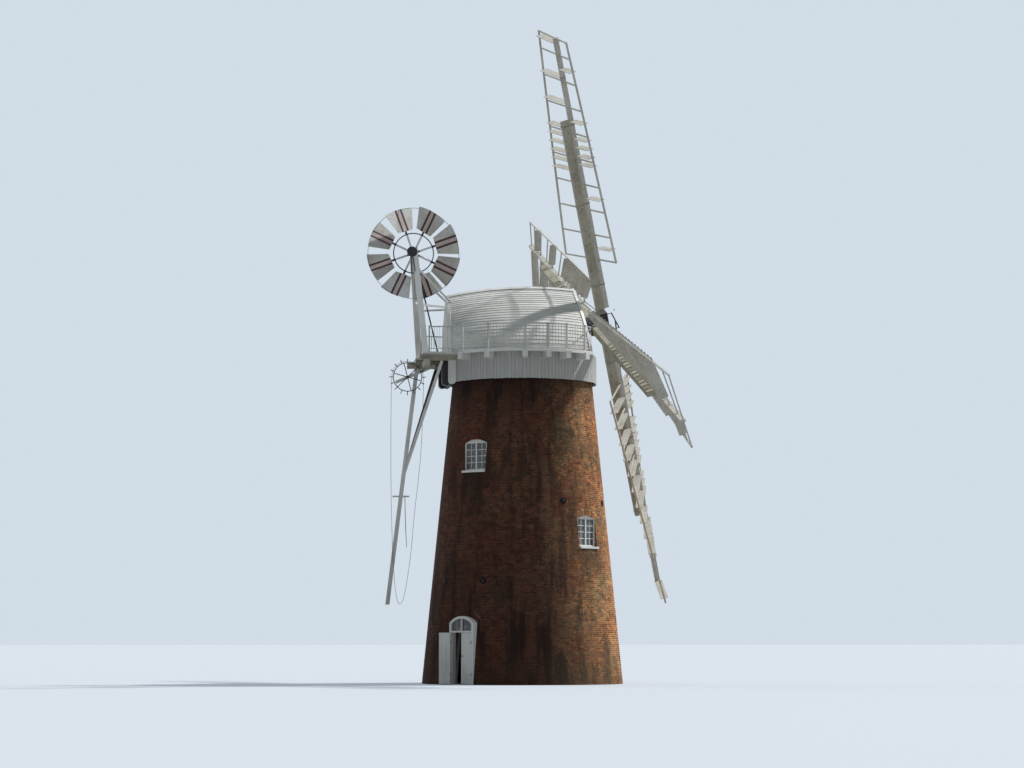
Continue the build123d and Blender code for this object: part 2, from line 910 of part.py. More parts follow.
with BuildPart() as chain_wheel_beam:
    start = (beam_x, wheel_beam_rear_y, wheel_beam_z(wheel_beam_rear_y))
    end = (beam_x, wheel_beam_front_y, wheel_beam_z(wheel_beam_front_y))
    strut(start, end, wheel_beam_size, wheel_beam_size)
    add(fan_stage.part, mode=Mode.SUBTRACT)
    add(tail_pole.part, mode=Mode.SUBTRACT)
write_piece(chain_wheel_beam, "chain_wheel_beam")

with BuildPart() as chain_wheel:
    wheel_plane = Plane(
        origin=(-chain_wheel_offset, chain_wheel_y, chain_wheel_z), x_dir=(0, 1, 0), z_dir=(1, 0, 0)
    )
    with BuildSketch(wheel_plane):
        Circle(chain_wheel_radius)
        Circle(chain_wheel_radius - chain_wheel_bar, mode=Mode.SUBTRACT)
        with PolarLocations(0, chain_wheel_spokes, start_angle=chain_wheel_start):
            with Locations((chain_wheel_radius / 2, 0)):
                Rectangle(chain_wheel_radius, chain_wheel_bar)
        Circle(2 * chain_wheel_bar)
    extrude(amount=chain_wheel_bar / 2, both=True)
    for index in range(chain_wheel_spikes):
        turn = radians(360 * index / chain_wheel_spikes)
        for lean_side in (-1, 1):
            rim = chain_wheel_radius - spike_radius
            side = lean_side * (chain_wheel_bar / 2 + spike_foot_gap)
            foot = wheel_plane.from_local_coords((rim * cos(turn), rim * sin(turn), side))
            reach = chain_wheel_radius + spike_length
            tip = wheel_plane.from_local_coords(
                (reach * cos(turn), reach * sin(turn), lean_side * spike_length / 2)
            )
            rod(foot, tip, spike_radius)
    with Locations(Plane(origin=wheel_plane.origin, z_dir=(1, 0, 0))):
        Cylinder(
            chain_wheel_bar,
            chain_wheel_offset + beam_x - wheel_beam_size / 2,
            align=(Align.CENTER, Align.CENTER, Align.MIN),
        )
write_piece(chain_wheel, "chain_wheel")


# Endless chains
def chain_loop(points):
    """Closed round-link chain drawn as a thin bar with rounded joints."""
    for start, end in zip(points, points[1:] + points[:1]):
        rod(start, end, chain_radius)
        with Locations(start):
            Sphere(chain_radius + chain_joint)


chain_x = -chain_wheel_offset
groove = chain_wheel_radius + chain_radius + chain_joint + chain_gap
groove = groove / cos(radians(chain_seat_step / 2))

with BuildPart() as chain_long:
    turns = [radians(turn) for turn in range(0, 181, chain_seat_step)]
    over = [(chain_wheel_y + groove * cos(a), chain_wheel_z + groove * sin(a)) for a in turns]
    chain_loop([(chain_x, y, z) for y, z in (*over, *chain_hang)])
write_piece(chain_long, "chain_long")

with BuildPart() as chain_short:
    seat = crossbar_z + crossbar_size / 2 + chain_radius + chain_joint + chain_gap
    chain_loop(
        [
            (-short_chain_half_width, short_chain_y, seat),
            (short_chain_half_width, short_chain_y, seat),
            (short_chain_half_width, *short_chain_bend),
            (0, *short_chain_foot),
            (-short_chain_half_width, *short_chain_bend),
        ]
    )
write_piece(chain_short, "chain_short")

# Fantail: iron hub, ring and spokes, and the pitched blades
with BuildPart() as fan_wheel:
    fan_plane = Plane(origin=fan_centre, x_dir=(0, 1, 0), z_dir=(1, 0, 0))
    with Locations(Plane(origin=fan_centre, z_dir=(1, 0, 0))):
        Cylinder(fan_hub_radius, fan_hub_length)
        Cylinder(fan_axle_radius, fan_axle_length)
    with Locations(Plane(origin=fan_centre - Vector(drive_shaft_offset, 0, 0), z_dir=(1, 0, 0))):
        Cylinder(fan_gear_radius, fan_gear_thickness)
    with BuildSketch(fan_plane):
        Circle(fan_ring_radius + fan_ring_bar)
        Circle(fan_ring_radius - fan_ring_bar, mode=Mode.SUBTRACT)
    extrude(amount=fan_ring_bar, both=True)
    for index in range(fan_blades_count):
        turn = radians(fan_start_angle + 360 * index / fan_blades_count)
        along = Vector(0, sin(turn), cos(turn))
        root = fan_centre + along * (fan_hub_radius - fan_spoke_radius)
        rod(root, fan_centre + along * fan_blade_inner, fan_spoke_radius)
write_piece(fan_wheel, "fan_wheel")

tip_half = fan_blade_tip / 2
tip_corner = sqrt(fan_radius**2 - (tip_half * cos(radians(fan_blade_pitch))) ** 2)

with BuildPart() as fan_blades:
    for index in range(fan_blades_count):
        turn = radians(fan_start_angle + 360 * index / fan_blades_count)
        along = Vector(0, sin(turn), cos(turn))
        across = Vector(0, cos(turn), -sin(turn)) * cos(radians(fan_blade_pitch))
        across = across + Vector(sin(radians(fan_blade_pitch)), 0, 0)
        with BuildSketch(Plane(origin=fan_centre, x_dir=along, z_dir=along.cross(across))):
            with BuildLine():
                Polyline(
                    (tip_corner, tip_half),
                    (fan_blade_inner, fan_blade_root / 2),
                    (fan_blade_inner, -fan_blade_root / 2),
                    (tip_corner, -tip_half),
                )
                ThreePointArc((tip_corner, -tip_half), (fan_radius, 0), (tip_corner, tip_half))
            make_face()
        extrude(amount=fan_blade_thickness / 2, both=True)
write_piece(fan_blades, "fan_blades")


# Sails. Each has its own plane: x along the arm, y towards the leading side, z to the front.
def arm_plane(index):
    """Plane of one sail's stock, turned a quarter for each sail from the upper one."""
    turn = radians(sail_turn + 90 * index)
    tilt = radians(shaft_tilt)
    up = Vector(0, sin(tilt), cos(tilt))
    left = Vector(-1, 0, 0)
    out = stock_offset if index % 2 == 0 else -stock_offset
    arm = up * cos(turn) + left * sin(turn)
    return Plane(origin=hub + shaft_direction * out, x_dir=arm, z_dir=shaft_direction)


def weather(radius):
    """Angle between the sail's bars and its plane, larger near the hub."""
    heel = sail_radius - tip_bay - sail_bay * sail_bays
    share = (sail_radius - radius) / (sail_radius - heel)
    return radians(weather_tip + share * (weather_heel - weather_tip))


def sail_point(radius, across):
    """Point on the twisted sail, across the whip from its middle."""
    angle = weather(radius)
    return Vector(radius, across * cos(angle), bar_level + across * sin(angle))


bar_radii = [sail_radius - bar_width / 2]
bar_radii += [sail_radius - tip_bay - sail_bay * step for step in range(sail_bays + 1)]


def sail_strut(start, end, width, depth, side):
    """Timber of the sail in its own plane."""
    run = end - start
    with BuildSketch(Plane(origin=start, x_dir=side, z_dir=run)) as section:
        Rectangle(width, depth)
    extrude(section.sketch, amount=run.length)


with BuildPart() as sail_master:
    with BuildSketch(Plane.XY.offset(stock_depth / 2)):
        Polygon(
            (whip_start, -whip_width / 2),
            (sail_radius, -whip_tip_width / 2),
            (sail_radius, whip_tip_width / 2),
            (whip_start, whip_width / 2),
            align=None,
        )
    extrude(amount=whip_depth)
    for radius in bar_radii:
        sail_strut(
            sail_point(radius, -trail_width),
            sail_point(radius, lead_width),
            bar_width,
            bar_thickness,
            (1, 0, 0),
        )
    for across in (-trail_width, lead_width):
        for outer, inner in zip(bar_radii, bar_radii[1:]):
            start = sail_point(outer + (bar_width / 2 if outer == bar_radii[0] else 0), across)
            end = sail_point(inner - (bar_width / 2 if inner == bar_radii[-1] else 0), across)
            angle = weather((outer + inner) / 2)
            sail_strut(start, end, hemlath_depth, hemlath_width, (0, -sin(angle), cos(angle)))


def whip_half(radius):
    """Half of the tapering whip's width at a radius."""
    share = (radius - whip_start) / (sail_radius - whip_start)
    return (whip_width + share * (whip_tip_width - whip_width)) / 2


def stock_half(radius):
    """Half of the tapering stock's width at a radius."""
    return (stock_width + radius / stock_reach * (stock_tip_width - stock_width)) / 2


def shutter_slots(bay):
    """Radii of the shutters in a bay, counted from the tip."""
    outer, inner = bar_radii[bay], bar_radii[bay + 1]
    count = 2 if bay == 0 else 3
    return [outer - (outer - inner) * (slot + 0.5) / count for slot in range(count)]


def shutter(radius, side):
    """Open shutter with its pivot pin, on the trailing (-1) or the leading (1) side."""
    width = trail_width if side < 0 else lead_width
    angle = weather(radius)
    whip_side = whip_half(radius) / cos(angle) + shutter_pin_radius * tan(angle)
    pin_start = side * (whip_side + shutter_pin_gap)
    pin_end = side * (width - hemlath_width / 2 - shutter_pin_gap)
    rod(sail_point(radius, pin_start), sail_point(radius, pin_end), shutter_pin_radius)
    clear = stock_half(radius) if radius < stock_reach + shutter_chord else whip_half(radius)
    root = clear / cos(angle) + shutter_chord / 2 * tan(angle) + shutter_root_gap
    blade_start = sail_point(radius, side * root)
    blade_end = sail_point(radius, side * (width - shutter_end_gap))
    normal = (0, -sin(angle), cos(angle))
    sail_strut(blade_start, blade_end, shutter_chord, shutter_thickness, normal)


all_slots = (0, 1, 2)
shutters_present = {
    0: {
        -1: {0: (0,), 1: (2,), 2: (2,), 3: (2,), 4: all_slots, 5: (0, 1)},
        1: {1: (1,), 3: (1,), 4: all_slots, 5: (0,), 6: (1,), 8: (1,)},
    },
    1: {
        -1: {2: (1, 2), **{bay: all_slots for bay in range(3, 9)}},
        1: {1: (1,), 3: (1, 2), **{bay: all_slots for bay in range(4, 9)}},
    },
    2: {
        -1: {
            0: (0,),
            2: (1,),
            3: (0, 2),
            4: (1,),
            5: (0, 2),
            6: (1,),
            7: (0, 2),
            8: (1,),
        },
        1: {1: (1,), 2: all_slots, 4: all_slots, 5: (1, 2), 6: all_slots, 7: (0, 2), 8: all_slots},
    },
    3: {
        -1: {0: (1,), 2: (1, 2), 4: (0, 2), **{bay: all_slots for bay in range(5, 9)}},
        1: {1: (1,), 3: (2,), 5: (2,), **{bay: all_slots for bay in range(6, 9)}},
    },
}

for index in range(4):
    place = arm_plane(index).location
    with BuildPart() as sail_frame:
        add(sail_master.part.moved(place))
    write_piece(sail_frame, f"sail_frame_{index + 1}")

    with BuildPart() as flat_shutters:
        for side, bays in shutters_present[index].items():
            for bay, slots in bays.items():
                radii = shutter_slots(bay)
                for slot in slots:
                    shutter(radii[slot], side)
    with BuildPart() as shutters:
        add(flat_shutters.part.moved(place))
    write_piece(shutters, f"shutters_{index + 1}")

# Stocks: two timbers that cross in the poll
with BuildPart() as stocks:
    for index in (0, 1):
        with BuildSketch(arm_plane(index)):
            Polygon(
                (-stock_reach, -stock_tip_width / 2),
                (0, -stock_width / 2),
                (stock_reach, -stock_tip_width / 2),
                (stock_reach, stock_tip_width / 2),
                (0, stock_width / 2),
                (-stock_reach, stock_tip_width / 2),
                align=None,
            )
        extrude(amount=stock_depth / 2, both=True)
write_piece(stocks, "stocks")

# Cast poll end that holds the stocks, and the windshaft behind it
poll_back = stock_offset + stock_depth / 2 + poll_wall

with BuildPart() as poll:
    for index in (0, 1):
        plane = arm_plane(index)
        front = stock_depth / 2 + (poll_wall if index == 0 else stock_offset)
        back = stock_depth / 2 + (poll_wall if index == 1 else stock_offset)
        with BuildSketch(plane.offset(-back)):
            Rectangle(2 * poll_reach, stock_width + 2 * poll_wall)
        extrude(amount=front + back)
    add(stocks.part, mode=Mode.SUBTRACT)
write_piece(poll, "poll")

with BuildPart() as windshaft:
    with BuildSketch(shaft_plane):
        Circle(windshaft_radius)
    extrude(amount=shaft_length - poll_back)
write_piece(windshaft, "windshaft")


# Striking gear: rod, spider, bell cranks and links, and the rods to the heel of each sail
spider_plane = Plane(origin=hub + shaft_direction * spider_out, z_dir=shaft_direction)

with BuildPart() as striking_gear:
    rod_foot = hub + shaft_direction * (poll_back - poll_wall)
    rod(rod_foot, spider_plane.origin + shaft_direction * spider_bar, striking_rod_radius)
    for index in range(4):
        plane = arm_plane(index)
        flat = Plane(origin=spider_plane.origin, x_dir=plane.x_dir, z_dir=shaft_direction)
        tip = flat.from_local_coords((spider_reach, crank_side, 0))
        foot = plane.from_local_coords((crank_foot[0], crank_side, crank_foot[1]))
        head = plane.from_local_coords((crank_head[0], crank_side, crank_head[1]))
        pivot = plane.from_local_coords((crank_pivot[0], crank_side, crank_pivot[1]))
        whip_side = whip_half(crank_pivot[0]) + link_radius * tan(radians(whip_taper)) + axle_gap
        seat = plane.from_local_coords((crank_pivot[0], whip_side, crank_pivot[1]))
        heel_out = bar_level + crank_side * tan(radians(weather_heel))
        heel_radius = bar_radii[-1] - bar_width / 2 - heel_gap
        heel = plane.from_local_coords((heel_radius, crank_side, heel_out))
        rod(spider_plane.origin, tip, spider_bar)
        for start, end in ((tip, foot), (foot, head), (head, pivot), (pivot, foot), (head, heel)):
            rod(start, end, link_radius)
        rod(pivot, seat, link_radius)
        for joint in (foot, head, pivot):
            with Locations(joint):
                Sphere(joint_radius)
        with Locations(tip):
            Sphere(spider_bar)
    add(poll.part, mode=Mode.SUBTRACT)
    add(stocks.part, mode=Mode.SUBTRACT)
write_piece(striking_gear, "striking_gear")
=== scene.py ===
"""Dressing for a brick drainage windmill: brickwork, boards, ironwork, chains and finishes.

Everything is in metres in the frame's own axes: +Z is up, the sails face -Y, the fantail
stands on the +Y side, and the tower's axis is the Z axis.
"""

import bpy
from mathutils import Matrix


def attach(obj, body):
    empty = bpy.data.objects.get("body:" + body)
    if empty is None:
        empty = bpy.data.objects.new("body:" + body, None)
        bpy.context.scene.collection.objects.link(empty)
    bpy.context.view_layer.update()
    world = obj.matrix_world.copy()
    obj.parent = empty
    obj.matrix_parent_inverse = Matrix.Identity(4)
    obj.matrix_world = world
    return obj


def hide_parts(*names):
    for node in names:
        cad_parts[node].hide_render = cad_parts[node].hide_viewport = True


bl_info = {
    "name": "Brick Windmill Dressing",
    "version": (1, 0, 0),
    "blender": (4, 5, 0),
    "location": "View3D > Sidebar > Windmill",
    "description": "Adds brickwork, boards, ironwork and finishes to a windmill frame",
    "category": "Add Mesh",
}

from contextlib import contextmanager
from math import asin, atan2, ceil, cos, pi, radians, sin, sqrt, tan
from random import Random

import bmesh
import bpy
from bpy.props import FloatProperty, FloatVectorProperty, IntProperty, PointerProperty
from mathutils import Matrix, Vector
from mathutils.bvhtree import BVHTree

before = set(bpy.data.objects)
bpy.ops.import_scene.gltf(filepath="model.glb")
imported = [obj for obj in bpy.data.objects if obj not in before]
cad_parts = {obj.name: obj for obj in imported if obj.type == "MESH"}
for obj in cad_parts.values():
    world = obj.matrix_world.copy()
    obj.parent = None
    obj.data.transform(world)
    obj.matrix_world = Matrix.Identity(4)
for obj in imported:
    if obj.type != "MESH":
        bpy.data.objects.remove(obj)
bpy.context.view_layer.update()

UP = Vector((0, 0, 1))

# Tower
BASE_RADIUS, BATTER, WALL_TOP, COURSE = 3.825, 0.0999, 11.7, 0.076
DOOR_ANGLE, DOOR_FACE, DOOR_OPENING, DOOR_HINGE_OUT = 136, 3.8038, 0.94, 0.015
DOOR_WIDTH, DOOR_HEIGHT, DOOR_RISE = 1.12, 2.53, 0.25
LEFT_LEAF_TURN = 168
LEAF_WIDTH, LEAF_LOW, LEAF_HEIGHT, LEAF_THICKNESS = 0.46, 0.03, 1.892, 0.04
WINDOW_WIDTH, WINDOW_HEIGHT, WINDOW_RISE = 1.06, 1.17, 0.15
WINDOW_BAR, WINDOW_SILL, WINDOW_SILL_OUT, WINDOW_REVEAL, WINDOW_DEPTH = 0.06, 0.08, 0.045, 0.06, 0.09
WINDOWS = ((135.2, 7.99), (222, 5.14), (315, 7.99), (42, 5.14))
TIE_PLATES = ((131.6, 0.95, 3.845), (224.4, 1.218, 6.825))
TIE_PLATE_THICKNESS = 0.025

# Cap and gallery
DECK_TOP, DECK_LOW, DECK_RADIUS = 12.5005, 12.4405, 3.27
RING_HIGH, RING_LOW = 12.2405, 12.0005
SKIRT_RADIUS, SKIRT_BOTTOM = 2.84, 11.46
SHEER_X, SHEER_WIDTH = 0.95, 0.24
RAIL_RADIUS, RAIL_HEIGHT, RAIL_SIZE, LOW_RAIL_HEIGHT = 3.2, 0.95, 0.045, 0.114
GALLERY_FRONT, GALLERY_REAR = 47, 54
STAGE_POST = (1.59, 3.75)
POST_ANGLES = (-52, -31, -5.5, 10, 24, 40)
CAP_HALF_WIDTH, CAP_LENGTH_RADIUS, CAP_MIDDLE, CAP_REAR = 2.35, 3.385, 0.15, 2.9
CAP_FRONT, CAP_FRONT_LEAN, CAP_FRONT_SECTION = -2.45, 10, -2.3
RIDGE_TOP, RIDGE_MIDDLE, RIDGE_RADIUS, CAP_CURVE = 15.22, -0.48, 14.5, 1.8
SHAFT_HOLE_RADIUS, SHAFT_HOLE_HEIGHT = 0.23, 1.1
# Thickness of the upright boards, and how far the verge boards stand past the cap's ends
BOARD_THICKNESS, FRONT_PAST, REAR_PAST = 0.02, 0.065, 0.055

# Fantail, tail pole and chains
FAN_CENTRE = Vector((0, 4.22, 16.475))
FAN_START, FAN_BLADES, FAN_PITCH = -24.9, 8, -27
FAN_STEP = 2 * pi / FAN_BLADES
FAN_RADIUS, FAN_INNER, FAN_RING = 1.785, 0.9, 0.77
FAN_ROOT_WIDTH, FAN_TIP_WIDTH, FAN_CORNER = 0.68, 1.29, 1.69
GEAR_X, GEAR_RADIUS, GEAR_TEETH = -0.34, 0.134, 24
CHAIN_X = -0.32
WHEEL_CENTRE, WHEEL_GROOVE = (4.46, 11.65), 0.6042
LONG_CHAIN = (
    (3.9, 9.2), (4.03, 7.7), (4.18, 6.5), (4.3, 4.9), (4.54, 3.3),
    (4.72, 2.9), (4.9, 3.35), (5.04, 5.6), (5.09, 8.4),
)
SHORT_CHAIN = (
    (-0.045, 4.52, 7.145), (0.045, 4.52, 7.145), (0.045, 4.49, 6.0), (0.0, 4.43, 4.9), (-0.045, 4.49, 6.0),
)

# Sails
HUB = Vector((0, -2.955, 13.81))
SHAFT_TILT, SAIL_TURN, STOCK_OFFSET = 15.4, 24.65, 0.195
STOCK_WIDTH, STOCK_TIP, STOCK_DEPTH, STOCK_REACH = 0.34, 0.21, 0.3, 8.25
WHIP_WIDTH, WHIP_TIP, WHIP_DEPTH, WHIP_START, SAIL_RADIUS = 0.2, 0.09, 0.2, 0.62, 11.45
POLL_REACH = 0.46

rng = Random(1836)


def length(name, description, default):
    return FloatProperty(name=name, description=description, default=default, unit="LENGTH")


def number(name, description, default):
    return IntProperty(name=name, description=description, default=default, min=1)


def colour(name, description, default):
    return FloatVectorProperty(name=name, description=description, default=default, subtype="COLOR")


class MillSizes(bpy.types.PropertyGroup):
    brick_length: length("Brick length", "Face length of a stretcher brick", 0.215)
    brick_height: length("Brick height", "Face height of a brick", 0.063)
    mortar_joint: length("Mortar joint", "Width of the joints between bricks", 0.013)
    brick_proud: length("Brick face", "How far brick faces stand out of the mortar", 0.006)
    cap_board: length("Cap board", "Exposed height of the cap's lapped boards", 0.155)
    skirt_board: length("Skirt board", "Spacing of the skirt's upright boards", 0.14)
    baluster_gap: length("Baluster spacing", "Spacing of the gallery's thin balusters", 0.125)
    baluster_radius: length("Baluster radius", "Radius of a gallery baluster", 0.009)
    pane_columns: number("Pane columns", "Columns of panes in each window light", 2)
    pane_rows: number("Pane rows", "Rows of panes in each window light", 4)
    link_length: length("Chain link", "Outside length of a chain link", 0.05)


class MillColours(bpy.types.PropertyGroup):
    brick_dark: colour("Burnt brick", "Darkest bricks", (0.03, 0.014, 0.01))
    brick_red: colour("Red brick", "Most of the bricks", (0.165, 0.05, 0.022))
    brick_orange: colour("Orange brick", "Palest bricks", (0.29, 0.145, 0.07))
    mortar: colour("Mortar", "Weathered lime mortar", (0.5, 0.4, 0.27))
    limewash: colour("Limewash", "Inside of the walls", (0.66, 0.63, 0.56))
    white_paint: colour("White paint", "Fresh white paint", (0.68, 0.68, 0.65))
    grey_paint: colour("Weathered paint", "Chalky and dirty white paint", (0.45, 0.44, 0.4))
    cream_paint: colour("Cream timber", "Cream paint of the heavy timbers", (0.4, 0.38, 0.3))
    bare_wood: colour("Bare wood", "Wood where the paint is gone", (0.22, 0.18, 0.13))
    floor_wood: colour("Floor wood", "Unpainted floor boards and beams", (0.3, 0.21, 0.13))
    iron: colour("Iron", "Black painted iron", (0.018, 0.018, 0.02))
    rust: colour("Rust", "Rust on the iron", (0.13, 0.055, 0.025))
    stripe: colour("Fan stripe", "Dark red stripes of the fan blades", (0.03, 0.004, 0.007))
    stone: colour("Stone", "Slabs of the ground floor", (0.3, 0.28, 0.25))
    stage: colour("Stage", "Floor and backdrop", (0.36, 0.37, 0.38))


def sizes():
    return bpy.context.scene.mill_sizes


def colours():
    return bpy.context.scene.mill_colours


# Materials


def numbers_of(tint, share=1.0):
    """A colour as numbers, dimmed if asked, from itself or from its name among the mill's colours."""
    parts = getattr(colours(), tint) if isinstance(tint, str) else tint
    return tuple(part * share for part in parts)


def arithmetic(operation, swapped=False):
    """A method for an arithmetic sign, which adds one maths node."""

    def method(self, other):
        return self.math(operation, other, self) if swapped else self.math(operation, self, other)

    return method


class Wire:
    """One node socket that takes part in plain arithmetic."""

    __add__ = arithmetic("ADD")
    __sub__ = arithmetic("SUBTRACT")
    __rsub__ = arithmetic("SUBTRACT", swapped=True)
    __mul__ = arithmetic("MULTIPLY")
    __rmul__ = arithmetic("MULTIPLY", swapped=True)
    __truediv__ = arithmetic("DIVIDE")
    __pow__ = arithmetic("POWER")
    __mod__ = arithmetic("FLOORED_MODULO")

    def __init__(self, finish, socket):
        self.finish = finish
        self.socket = socket

    def math(self, operation, *values):
        return self.finish.node("ShaderNodeMath", {"operation": operation}, dict(enumerate(values)))

    def __abs__(self):
        return self.math("ABSOLUTE", self)

    def between(self, low, high):
        """0 below low, 1 above high and smooth between them."""
        values = {"Value": self, "From Min": low, "From Max": high}
        return self.finish.node("ShaderNodeMapRange", {"interpolation_type": "SMOOTHSTEP"}, values)

    def seams(self, low, high):
        """1 close to whole numbers and 0 away from them."""
        return abs(self % 1.0 - 0.5).between(low, high)

    def lot(self):
        """A random value for each whole number."""
        return self.finish.node(
            "ShaderNodeTexWhiteNoise", {"noise_dimensions": "1D"}, {"W": self.math("FLOOR", self)}
        )


class Finish:
    """A material whose node tree is written as expressions."""

    def __init__(self, name):
        self.material = bpy.data.materials.new(f"mill_{name}")
        self.material.use_nodes = True
        self.tree = self.material.node_tree
        self.shader = self.tree.nodes["Principled BSDF"]
        self.place = self.node("ShaderNodeTexCoord", output="Object")

    def node(self, kind, settings=None, sockets=None, output=0):
        made = self.tree.nodes.new(kind)
        for key, value in (settings or {}).items():
            setattr(made, key, value)
        for key, value in (sockets or {}).items():
            self.join(value, made.inputs[key])
        return Wire(self, made.outputs[output])

    def join(self, value, socket):
        """Link a wire to a socket, or set a constant on it."""
        if isinstance(value, Wire):
            self.tree.links.new(value.socket, socket)
        elif socket.type == "RGBA":
            socket.default_value = (*numbers_of(value), 1)
        else:
            socket.default_value = value

    def axes(self):
        """The three parts of the place on the object."""
        split = self.tree.nodes.new("ShaderNodeSeparateXYZ")
        self.join(self.place, split.inputs[0])
        return [Wire(self, socket) for socket in split.outputs]

    def own_tone(self):
        """The random tone that a copied brick or board carries."""
        return self.node("ShaderNodeAttribute", {"attribute_name": "tone"}, output="Fac")

    def noise(self, scale, detail, rough, stretch=(1, 1, 1), shift=0.0):
        values = {"Vector": self.place, "Scale": stretch, "Location": (shift, shift, shift)}
        place = self.node("ShaderNodeMapping", {}, values)
        values = {"Vector": place, "Scale": scale, "Detail": detail, "Roughness": rough}
        return self.node("ShaderNodeTexNoise", {}, values)

    def mix(self, factor, low, high, way="MIX"):
        return self.node(
            "ShaderNodeMix", {"data_type": "RGBA", "blend_type": way}, {0: factor, 6: low, 7: high}, output=2
        )

    def layers(self, base, *coats):
        """Coats, each an amount and a colour, laid over a base in turn."""
        for amount, coat in coats:
            base = self.mix(amount, base, coat)
        return base

    def ramp(self, factor, *stops):
        made = self.node("ShaderNodeValToRGB", {}, {"Fac": factor}, output="Color")
        elements = made.socket.node.color_ramp.elements
        while len(elements) < len(stops):
            elements.new(0.5)
        for element, (position, tint) in zip(elements, stops):
            element.position = position
            element.color = (*numbers_of(tint), 1)
        return made

    def bump(self, height, distance):
        return self.node("ShaderNodeBump", {}, {"Height": height, "Distance": distance, "Strength": 1.0})

    def set(self, **values):
        """Set or link the shader's own sockets, named with underscores for spaces."""
        for key, value in values.items():
            self.join(value, self.shader.inputs[key.replace("_", " ")])
        return self.material


def sill_stain(x, y, z):
    """Run marks under the window sills."""
    total = 0
    for angle, low in WINDOWS:
        turn = radians(angle)
        across = abs(y * cos(turn) - x * sin(turn))
        facing = (x * cos(turn) + y * sin(turn)).between(1.0, 2.0)
        drop = z.between(low - 1.5, low - 0.5) * (1 - z.between(low - WINDOW_SILL, low - WINDOW_SILL + 0.02))
        total = (1 - across.between(0.3, 0.62)) * drop * facing + total
    return total


def wall_stains_and_painted_light(finish, base):
    """Broad stains of the tower: pale bloom, lichen, run marks and damp at the foot, and darker towards the
    top, with painted sunlight on the side towards the key lamp and painted shade elsewhere.
    """
    x, y, z = finish.axes()
    bloom = finish.noise(0.55, 6, 0.66, (1, 1, 1.5), 3.0).between(0.48, 0.62)
    mottle = finish.noise(3.0, 5, 0.72, (1, 1, 1.6), 41.0)
    trails = finish.noise(1.9, 5, 0.62, (1, 1, 0.12), 17.0).between(0.53, 0.63)
    lichen = finish.noise(0.75, 5, 0.64, (1, 1, 0.9), 31.0).between(0.49, 0.61)
    streaks = finish.noise(2.2, 4, 0.6, (1, 1, 0.16), 9.0).between(0.47, 0.62)
    patches = finish.noise(0.5, 4, 0.55, (1, 1, 1.2), 21.0).between(0.44, 0.56)
    # Darker on the side facing a heading of 150 degrees, away from the key lamp: painted shade, with some
    # weathering.
    weathering_and_painted_shade = (y * 0.5 - x * 0.866).between(-1.6, 3.0)
    # Painted sunlight: a mask for the side facing a heading of about 259 degrees, towards the key lamp.
    painted_sunlight = (-0.2 * x - y).between(0.6, 3.2)
    damp = 1 - z.between(0.1, 1.5)
    # Darker towards the top, and darker on the shade side as painted shade, most at the foot.
    darker_top_and_painted_shade = z.between(9.6, 11.5) * 0.45 + weathering_and_painted_shade * (0.6 - z.between(2, 7) * 0.2)
    stains_and_painted_sun = finish.layers(
        base,
        # Painted sunlight: a warmer, brighter colour on the side towards the key lamp.
        (painted_sunlight * 0.55, finish.mix(1.0, base, (1.9, 1.55, 1.1), "MULTIPLY")),
        (bloom * 0.3 + trails * 0.3, (0.25, 0.17, 0.1)),
        (lichen * 0.5, (0.1, 0.09, 0.05)),
        (patches * 0.4, (0.16, 0.036, 0.014)),
        (mottle.between(0.5, 0.62) * 0.5, (0.035, 0.02, 0.015)),
        ((1 - mottle.between(0.38, 0.48)) * 0.4, (0.3, 0.16, 0.08)),
        # Run marks, the darker top and the painted shade of the shade side.
        (streaks * 0.35 + darker_top_and_painted_shade, (0.028, 0.017, 0.013)),
        (sill_stain(x, y, z) * 0.6, (0.03, 0.03, 0.019)),
        (damp * 0.4, (0.05, 0.04, 0.026)),
    )
    # Painted light over all: brighter on the side towards the key lamp, darker elsewhere as painted shade.
    return finish.mix(1.0, stains_and_painted_sun, finish.mix(painted_sunlight, (0.72, 0.59, 0.58), (1.75, 1.95, 1.8)), "MULTIPLY")


def brick_finish(finish):
    rough = finish.noise(38, 5, 0.7)
    own = finish.ramp(
        finish.own_tone() + (rough - 0.5) * 0.45,
        (0.0, "brick_dark"), (0.28, (0.08, 0.028, 0.016)), (0.55, "brick_red"), (0.78, (0.27, 0.1, 0.04)),
        (1.0, "brick_orange"),
    )
    return finish.set(
        # The bricks get the wall's stains with painted sunlight and painted shade.
        Base_Color=wall_stains_and_painted_light(finish, own),
        Roughness=rough.between(0.2, 0.9) * 0.15 + 0.8,
        Specular_IOR_Level=0.15,
        Normal=finish.bump(rough * 0.7 + finish.noise(120, 3, 0.6) * 0.3, 0.004),
    )


def wall_finish(finish):
    """Mortar outside, brick courses in the reveals and limewash inside."""
    x, y, z = finish.axes()
    inset = (BASE_RADIUS - z * BATTER) - (x * x + y * y) ** 0.5
    grain = finish.noise(60, 5, 0.65)
    # The mortar gets the wall's stains with painted sunlight and painted shade.
    mortar = wall_stains_and_painted_light(finish, finish.mix(grain, "mortar", (0.32, 0.25, 0.17)))
    brick = finish.mix(grain, (0.08, 0.03, 0.017), "brick_red")
    reveal = finish.mix((z / COURSE).seams(0.4, 0.46), brick, mortar)
    damp = finish.noise(1.1, 4, 0.6).between(0.42, 0.75)
    wash = finish.mix(damp * 0.55, "limewash", (0.42, 0.38, 0.31))
    shade = finish.layers(mortar, (inset.between(0.012, 0.02), reveal), (inset.between(0.3, 0.36), wash))
    bump = finish.bump(grain, 0.004)
    return finish.set(Base_Color=shade, Roughness=0.93, Specular_IOR_Level=0.15, Normal=bump)


